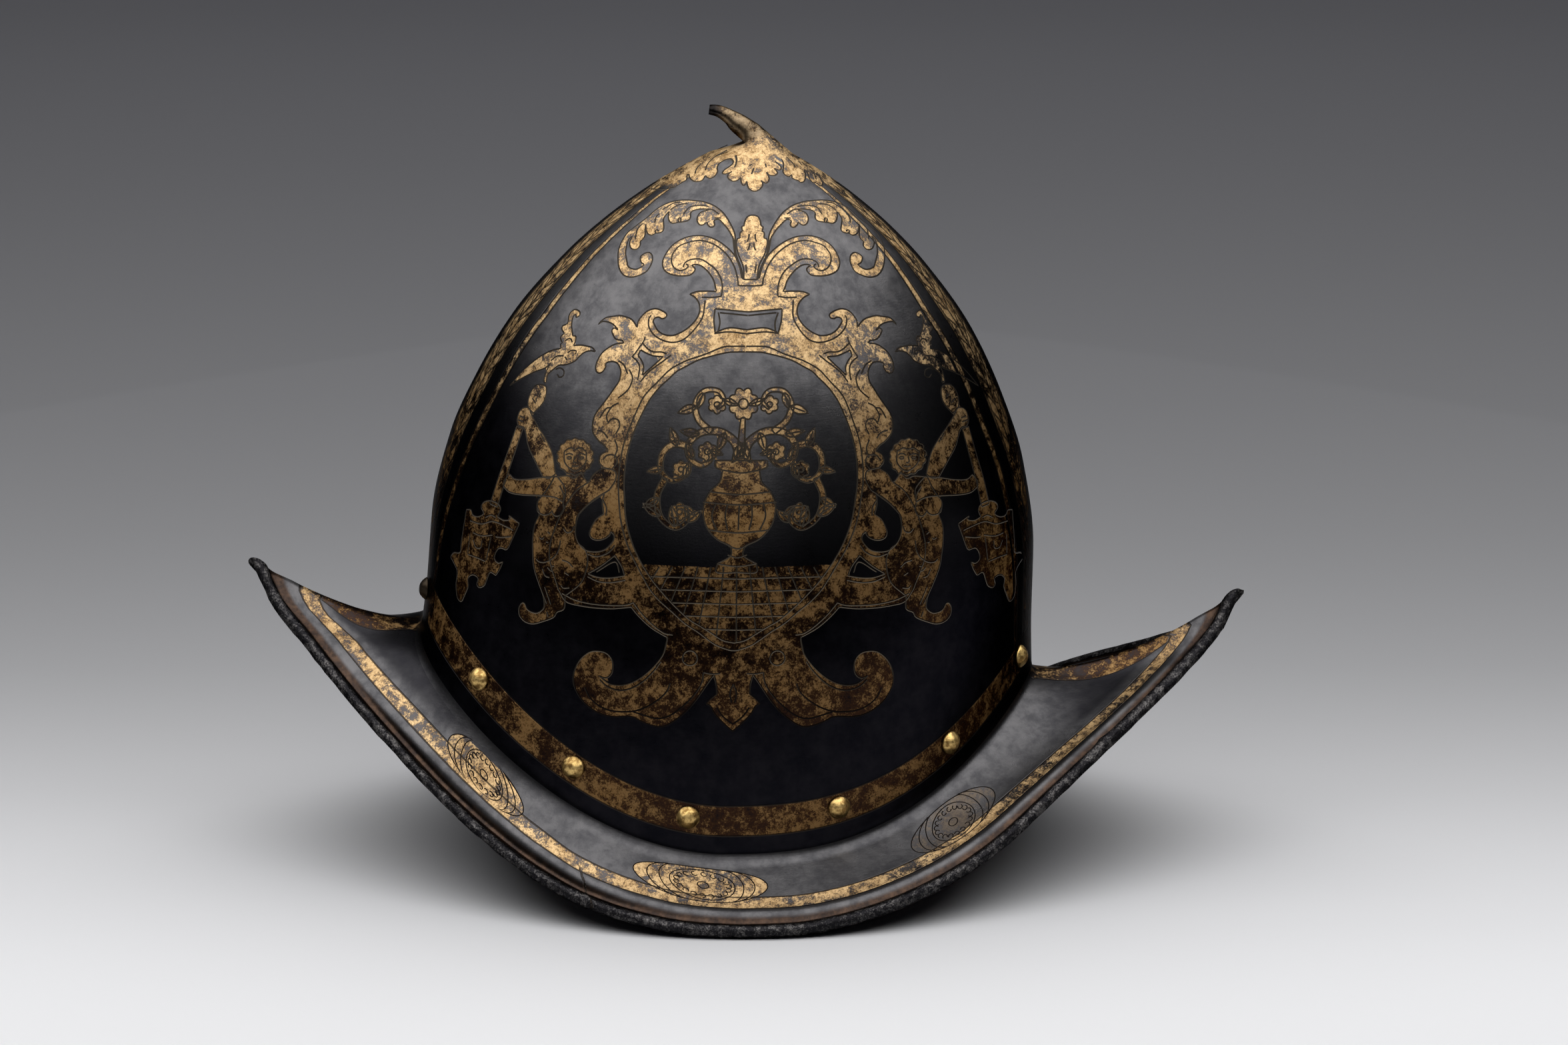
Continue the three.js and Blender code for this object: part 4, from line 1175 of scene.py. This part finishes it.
# Where the finish changes, in millimetres: over the crown's foot, in from the rim, off the keel
FOOT_BAND = (8.7, 20.0)
BRIM_BAND = (12.8, 18.3)
RIDGE_BAND = 14.0
RIDGE_LINE = (20.0, 22.5)
BRAID_MIDDLE = 9.5
BRAID_HALF = 3.6
LEAF_HALF = 11.5
# Where the gilt leaf on the brim's keel starts, at the front and the rear, and how far it runs
FRONT_LEAF = (106, 68)
REAR_LEAF = (-122, -44)
CRACK_AT = math.radians(-121)

# Colours, in pairs where the finish varies between two
GOLD = (0.65, 0.46, 0.245)
# Dull brown gold: partly dull gilding, partly painted shade where the gilding lies low
DULL_AND_SHADED_GOLD = (0.19, 0.102, 0.034)
WORN_GILDING = (0.034, 0.0155, 0.0075)
GREY_STEEL = (0.098, 0.095, 0.097), (0.05, 0.049, 0.052)
# Nearly black steel, for painted shade low on the crown, at its sides and over the brim
PAINTED_SHADE_STEEL = (0.0055, 0.0055, 0.0075), (0.011, 0.0105, 0.013)
STALK_STEEL = (0.022, 0.016, 0.012), (0.085, 0.072, 0.06)
BROKEN_END = (0.012, 0.011, 0.011)
GROOVE_RUST = (0.02, 0.013, 0.01), (0.06, 0.035, 0.022)
BEAD_STEEL = (0.013, 0.0125, 0.014), (0.12, 0.113, 0.11)
INSIDE_STEEL = (0.03, 0.028, 0.028), (0.075, 0.05, 0.035)
CUT_STEEL = (0.02, 0.016, 0.013)


def shell_fields():
    """The distances over the shell, its parts, and the noises that vary its finish."""
    here = SimpleNamespace()
    for name in ("inward", "ridge", "along", "foot", "outside", "gilt"):
        setattr(here, name, attribute(name))
    here.across, here.deep, here.height = position()
    here.behind = here.across * -1
    here.off_middle = Value.maths("ABSOLUTE", here.across)
    here.right_side = 1 - here.deep.step(-1, 0)
    here.on_crown = here.inward.step(79.5, 81)
    here.on_brim = 1 - here.on_crown
    here.above_foot = here.foot.step(20, 21)
    here.below_apex = 1 - here.height.step(249.5, 251)
    here.stalk = here.on_crown * here.inward.step(93, 94.5)
    outer_brim = here.on_brim * here.outside
    here.bead = (1 - here.inward.step(4.4, 4.9)) * here.on_brim
    here.trough = here.inward.step(4.5, 4.9) * (1 - here.inward.step(7.8, 9.6)) * outer_brim
    here.shoulder = here.inward.step(8, 9.6) * (1 - here.inward.step(12.6, 12.8)) * outer_brim
    here.brim_field = here.on_brim * here.inward.step(18.5, 19)
    here.broad = noise(60, 3)
    here.patches = noise(230, 7, 0.78, 0.3)
    here.grains = noise(1500, 4, 0.75)
    here.tarnish = noise(120, 5, 0.65)
    runs = [(here.across - start) / length for start, length in (FRONT_LEAF, REAR_LEAF)]
    to_tip = runs[0].either(runs[1]).step(0, 1)
    leaf_half = Value.maths("SINE", to_tip * 2.3 + 0.8) * LEAF_HALF
    here.in_leaf = leaf_half - here.ridge
    here.keel_leaf = here.brim_field * here.in_leaf.step(0, 0.5)
    return here


def gilding_laid(here):
    """Where gilding was laid: beside the keel, in the pattern and roundels, and along foot and brim."""
    cap = 1 - here.below_apex
    inner, outer = RIDGE_LINE
    beside_keel = here.ridge.step(2, 6) * (1 - here.ridge.step(RIDGE_BAND, RIDGE_BAND + 0.4))
    beside_keel = beside_keel.either(here.ridge.band(inner, outer))
    beside_keel = beside_keel.either(cap * (1 - here.ridge.step(9, 9.5)))
    pattern = here.gilt.step(-0.12, 0.12)
    clear = here.ridge.step(outer + 1, outer + 1.5).either(cap)
    bare_roundel = here.right_side * here.across.step(50, 55)
    laid = here.on_crown * (beside_keel * here.above_foot).either(clear * pattern)
    laid = laid.either(here.on_brim * pattern * (1 - bare_roundel * 0.88)).either(here.keel_leaf)
    laid = laid.either(here.foot.band(*FOOT_BAND)).either(here.inward.band(*BRIM_BAND))
    return laid * (1 - here.stalk * (0.7 + here.behind.step(8, 10) * 0.3))


def cut_lines(here):
    """Lines etched beside the bands, the braid beside the keel, and the crack in the brim's edge."""
    lines = here.in_leaf.line(0, 0.35) * here.brim_field
    for distance, places in ((here.inward, BRIM_BAND), (here.foot, FOOT_BAND)):
        for at in places:
            lines = lines.either(distance.line(at, 0.3))
    upright = here.ridge.line(RIDGE_BAND, 0.4)
    for at in RIDGE_LINE:
        upright = upright.either(here.ridge.line(at, 0.4))
    beside = Value.maths("ABSOLUTE", here.ridge - BRAID_MIDDLE)
    braid = Value.maths("SINE", here.along * 0.8 + beside * 1.5 + here.patches * 2.5).step(0.55, 0.9)
    braid = braid.either(beside.line(0, 0.45)).either(beside.line(BRAID_HALF, 0.4))
    upright = (upright * here.on_crown).either(braid * here.ridge.band(4.5, RIDGE_BAND, 0.3))
    lines = lines.either(upright * here.above_foot * here.below_apex)
    start, way = rim_point(CRACK_AT), unit(brim_ray(CRACK_AT)[0][:2])
    off_crack = (here.across - start[0]) * way[1] - (here.deep - start[1]) * way[0]
    crack = (off_crack + here.patches * 2.4 - 1.2).line(0, 0.3) * (1 - here.inward.step(14, 15.5))
    return (lines * here.outside).either(crack * here.right_side * here.on_brim)


def steel_colour(here, mottle):
    """Grey steel, with painted shade that makes it nearly black low on the crown, at the crown's sides and
    on the brim near the tips, and rust in the groove.
    """
    # Painted shade: the steel turns nearly black low on the crown, at its sides and over the brim near the
    # tips, and a little darker over the brim but for its shoulder
    sides = here.off_middle.step(40, 90) * (1 - here.height.step(165, 225))
    shade_near_tips = here.across.step(98, 130).either(here.behind.step(70, 125))
    dark = (1 - here.height.step(110, 195)).either(sides) * here.on_crown
    dark = dark.either(shade_near_tips * here.inward.step(18, 24) * here.on_brim * 0.8)
    dark = dark.either(here.on_brim * (1 - here.shoulder) * 0.2)
    flecks = here.patches * 0.6 + here.grains * 0.4
    base = mixed(mottle.step(0.5, 0.82), *GREY_STEEL)
    for share, colour in (
        (dark, mixed(mottle.step(0.5, 0.85), *PAINTED_SHADE_STEEL)),
        (here.stalk, mixed(here.patches.step(0.4, 0.6), *STALK_STEEL)),
        (here.stalk * here.behind.step(9.6, 11.4) * 0.9, BROKEN_END),
        (here.trough * 0.9, mixed(noise(260, 5, 0.7).step(0.35, 0.7), *GROOVE_RUST)),
        (here.bead, mixed(flecks.step(0.47, 0.63), *BEAD_STEEL)),
        (1 - here.outside, mixed(here.tarnish.step(0.4, 0.65), *INSIDE_STEEL)),
    ):
        base = mixed(share, base, colour)
    return base


def gilded(here, laid, base):
    """The gilding that is left, and the colour with it: gold in patches over a brown worn layer, with
    painted light that brightens it higher up and on the brim, and painted shade that dulls it and shows
    more of the worn layer low down.
    """
    thin = here.on_crown * (1 - here.ridge.step(16, 30)) * (1 - here.height.step(110, 190)) * 0.07
    cover = here.broad * 0.35 + here.patches * 0.75 + here.grains * 0.4 + here.height.step(90, 215) * 0.055
    cover = cover - thin - here.keel_leaf * 0.08
    left = laid * here.outside * (cover + here.on_brim * 0.04).step(0.71, 0.84)
    # Painted light: gold brighter higher on the crown and over the brim, less so on the keel's leaf and
    # towards the tips
    painted_light_height = here.height.step(120, 200)
    painted_light_brim = 0.9 - here.keel_leaf * 0.65 - here.off_middle.step(110, 165) * 0.35
    painted_light = (painted_light_height * painted_light_height).either(here.on_brim * painted_light_brim)
    bright = here.grains.step(0.4, 0.6) * 0.35 + here.patches.step(0.42, 0.6) * 0.65
    # The brown worn layer: partly wear, partly painted shade, as it shows more where the painted light is
    # weak
    under = laid * here.outside * cover.step(0.5, 0.74) * (1 - painted_light * 0.75)
    base = mixed(under * 0.9, base, WORN_GILDING)
    return left, mixed(left, base, mixed(bright * (0.12 + painted_light * 0.88), DULL_AND_SHADED_GOLD, GOLD))


def shell_material():
    """Blackened steel with gilding, worn in patches, laid out by the distances over the shell."""
    material, surface = new_material("etched_gilt_steel")
    here = shell_fields()
    mottle = here.tarnish * 0.5 + here.patches * 0.5 + here.broad * 0.3
    cut = cut_lines(here)
    left, base = gilded(here, gilding_laid(here), steel_colour(here, mottle))
    Value.feed(surface.inputs["Base Color"], mixed(cut * 0.85, base, CUT_STEEL))
    surface.inputs["Metallic"].default_value = 1.0
    surface.inputs["Specular Tint"].default_value = (0.3, 0.3, 0.3, 1)
    rough = 0.3 + (mottle - 0.65) * 0.2 + left * 0.2 + here.bead * 0.12 + here.shoulder * 0.08
    Value.feed(surface.inputs["Roughness"], rough + (1 - here.outside) * 0.2)
    scratches = noise(260, 3, 0.6, 0.4, (1, 1, 5))
    grain = bump(here.grains * 0.6 + scratches * 0.4, 0.00012, 0.5)
    filed = bump(noise(210, 5, 0.7) * here.bead, 0.0011, 0.9, grain)
    Value.feed(surface.inputs["Normal"], bump((1 - cut) * 0.6 + left * 0.1, 0.00018, 0.8, filed))
    return material


def shell_gilding():
    """Signed distance of the gilding at every point of the shell, the left side a mirror of the right."""
    half = COLUMNS // 2
    near = grid[:OUTSIDE_ROWS, half:] + (0, 0, LIFT)
    distance = np.full(grid.shape[:2], FAR)
    crown_rows = inwards[:OUTSIDE_ROWS, 0] > BRIM_BELOW
    right = gilding_distance(on_sheet(near[crown_rows]).reshape(-1, 2)).reshape(-1, half)
    distance[:OUTSIDE_ROWS][crown_rows, half:] = right
    distance[:OUTSIDE_ROWS][crown_rows, 1:half] = right[:, :0:-1]
    return np.maximum(distance, brim_gilding())


add_attribute(shell, "gilt", with_poles(shell_gilding(), FAR, FAR))
dress(shell, shell_material(), "helmet_shell")


# Colours of an etched line, in its depth and in the painted glint on its lower lip
DARK_LINE = (0.009, 0.007, 0.006)
PAINTED_GLINT_LINE = (0.14, 0.117, 0.087)


def line_material():
    """The etched lines: dark, with a painted glint on each groove's lower lip."""
    material, surface = new_material("etched_line_steel")
    height = position()[2]
    # Painted glint on each strip's lower lip: none below 75 mm, fainter above 150 mm
    painted_light = 1 - attribute("upper_edge").step(-0.45, 0.35)
    share = height.step(75, 100) * (1 - height.step(150, 200) * 0.6)
    Value.feed(surface.inputs["Base Color"], mixed(painted_light * share, DARK_LINE, PAINTED_GLINT_LINE))
    surface.inputs["Metallic"].default_value = 1.0
    surface.inputs["Roughness"].default_value = 0.4
    return material


etched = line_material()
for name, side in (("etched_lines_right", -1), ("etched_lines_left", 1)):
    line_piece(name, crown_strips(side) + brim_strips(side), etched)


def rivet_seats():
    """Each rivet's place on the crown's outside and the normal there."""
    bearing = np.radians(np.array(RIVET_BEARINGS))
    behind = np.maximum(-np.cos(bearing), 0)
    up = RIVET_LINE * (1 + REAR_LINE_LIFT * behind ** 2) / (APEX_HEIGHT - joint_height(bearing))
    return crown_point(bearing, up), crown_normal(bearing, up)


# The rivets' colours: in the hollows, on the rubbed tops, and the painted shade on the one at the rear
HOLLOW_BRASS = (0.24, 0.14, 0.045)
RUBBED_BRASS = (0.72, 0.5, 0.19)
PAINTED_SHADE_BRASS = (0.03, 0.022, 0.015)


def rivet_material():
    """Brass with fine hammer marks, rubbed bright in places, with painted shade on the rearmost rivet."""
    material, surface = new_material("hammered_gilt_brass")
    rubbed = noise(420, 4, 0.65)
    base = mixed(rubbed.step(0.38, 0.6), HOLLOW_BRASS, RUBBED_BRASS)
    # Painted shade: the rearmost rivet is made nearly black
    base = mixed(1 - position()[0].step(-106, -100), base, PAINTED_SHADE_BRASS)
    Value.feed(surface.inputs["Base Color"], base)
    surface.inputs["Metallic"].default_value = 1.0
    Value.feed(surface.inputs["Roughness"], 0.32 + noise(800, 3) * 0.18)
    Value.feed(surface.inputs["Normal"], bump(noise(1500, 3, 0.6), 0.00008, 0.6))
    return material


# A rivet in millimetres off the plate: its head's reach, dome, upright skirt and underside, and its tail
HEAD_RADIUS, HEAD_RISE, HEAD_SKIRT, HEAD_FOOT = 4.2, 2.3, 0.55, 0.3
TAIL_END = -2.6
BELOW_HEAD = [(4.2, HEAD_FOOT), (1.7, HEAD_FOOT), (1.7, -1.5), (2.7, -1.5), (2.7, -1.94), (1.9, TAIL_END)]
DOME_ROWS, RIVET_TURNS, HAMMER_BLOWS = 12, 40, 7


def rivets():
    """Domed heads with hammered flats, shanks and peened tails: turned profiles set square to the plate."""
    angle = np.arange(RIVET_TURNS) / RIVET_TURNS * 2 * np.pi
    skirt = HEAD_FOOT + HEAD_SKIRT
    shares = np.arange(1, DOME_ROWS + 1) / DOME_ROWS
    head = [(HEAD_RADIUS * share, skirt + HEAD_RISE * (1 - share ** 2.4)) for share in shares]
    profile = np.array(head + BELOW_HEAD)
    radius = profile[:, :1]
    faces = closed_skin(len(profile), RIVET_TURNS)
    material = rivet_material()
    for number, (seat, normal) in enumerate(zip(*rivet_seats()), 1):
        rise = profile[:, 1:]
        flats = 0
        for _ in range(HAMMER_BLOWS):
            facing = unit(np.append(RNG.normal(size=2), 1.1))
            local = radius * (facing[0] * np.cos(angle) + facing[1] * np.sin(angle)) + rise * facing[2]
            flats = flats + 0.55 * np.maximum(local - RNG.uniform(3.1, 3.5), 0)
        rise = np.where(rise > HEAD_FOOT + 0.1, rise - flats, rise) + 0 * angle
        side = unit(np.cross(normal, [0, 0, 1.0]))
        ahead = np.cross(side, normal)
        turned = np.cos(angle)[:, None] * side + np.sin(angle)[:, None] * ahead
        body = seat + (radius[..., None] * turned + rise[..., None] * normal)
        top, bottom = seat + normal * (skirt + HEAD_RISE), seat + normal * TAIL_END
        points = np.concatenate([[top], body.reshape(-1, 3), [bottom]]) + (0, 0, LIFT)
        made = new_object(f"rivet_finished_{number:02d}", points, faces)
        dress(made, material, f"rivet_{number:02d}")


rivets()


# The floor, in millimetres, and its greys at shares of the way from its front to far behind: painted light
# fall-off, nearly white close by and dark far off
FLOOR_SIDE = 6000
FLOOR_FRONT, FLOOR_BACK, FLOOR_NEAREST = -420, 3400, -9000
GREY_FROM, GREY_OVER = 0.42, 2.6  # metres before the helmet, and metres in all
FALLOFF_GREYS = (
    (0.0, 0.93), (0.08, 0.94), (0.12, 0.86), (0.18, 0.56), (0.245, 0.325), (0.33, 0.225),
    (0.43, 0.18), (0.56, 0.155), (0.72, 0.148), (0.92, 0.18), (1, 0.19),
)


def floor(name, near, far_end, shines):
    """A pale surface whose grey is painted light fall-off: dark far off, nearly white close by."""
    side = FLOOR_SIDE
    points = np.array([(-side, near, 0), (side, near, 0), (side, far_end, 0), (-side, far_end, 0)], float)
    made = new_object(name, points, [[0, 1, 2, 3]], False)
    made.visible_glossy = shines
    material, surface = new_material("paper_painted_falloff")
    far = Value(Value.node("ShaderNodeSeparateXYZ", {}, {0: place()}).outputs["Y"])
    ramp = Value.node("ShaderNodeValToRGB")
    ramp.color_ramp.interpolation = "B_SPLINE"
    while len(ramp.color_ramp.elements) < len(FALLOFF_GREYS):
        ramp.color_ramp.elements.new(0.5)
    for element, (where, grey) in zip(ramp.color_ramp.elements, FALLOFF_GREYS):
        element.position = where
        element.color = (grey, grey, grey * (1.01 + 0.08 * where), 1)
    Value.feed(ramp.inputs[0], (far + GREY_FROM) / GREY_OVER)
    Value.feed(surface.inputs["Base Color"], ramp.outputs["Color"])
    surface.inputs["Roughness"].default_value = 0.7
    surface.inputs["Specular IOR Level"].default_value = 0.1
    made.data.materials.append(material)


def aimed(place_at, aim):
    """The turn that points a light or a camera at a place."""
    return (Vector(aim) - Vector(place_at)).to_track_quat("-Z", "Y").to_euler()


def soft_light(name, place_at, aim, wide, high, power, lights_matt, shines):
    """A soft panel that lights matt things, or shows in shiny ones, or both."""
    data = bpy.data.lights.new(name, "AREA")
    data.shape = "RECTANGLE"
    data.size = wide
    data.size_y = high
    data.energy = power
    made = bpy.data.objects.new(name, data)
    made.location = place_at
    made.visible_diffuse = lights_matt
    made.visible_glossy = shines
    made.rotation_euler = aimed(place_at, aim)
    bpy.context.scene.collection.objects.link(made)


floor("floor", FLOOR_FRONT, FLOOR_BACK, True)
floor("floor_near", FLOOR_NEAREST, FLOOR_FRONT, False)
soft_light("key", (0.0, 0.1, 1.75), (0, 0, 0.1), 3.7, 2.9, 60, True, False)
soft_light("overhead", (-0.6, -0.3, 1.8), (-0.6, -0.3, 0), 6.0, 3.2, 150, False, True)
soft_light("front", (0.0, -2.7, 1.6), (0, 0, 0.15), 2.0, 1.0, 10, False, True)
world = bpy.data.worlds.new("studio")
world.use_nodes = True
world.node_tree.nodes["Background"].inputs["Color"].default_value = (0.008, 0.0085, 0.011, 1)
bpy.context.scene.world = world

VIEW_DISTANCE = 1.8
camera_data = bpy.data.cameras.new("view")
camera_data.sensor_width = 36
camera_data.lens = 111.0
camera_data.clip_end = 50
camera = bpy.data.objects.new("view", camera_data)
target = Vector((0.0141, 0, 0.1208))
camera.location = target + VIEW_DISTANCE * Vector((0, -math.cos(VIEW_RISE), math.sin(VIEW_RISE)))
camera.rotation_euler = aimed(camera.location, target)
bpy.context.scene.collection.objects.link(camera)
bpy.context.scene.camera = camera
bpy.context.scene.view_settings.view_transform = "Standard"
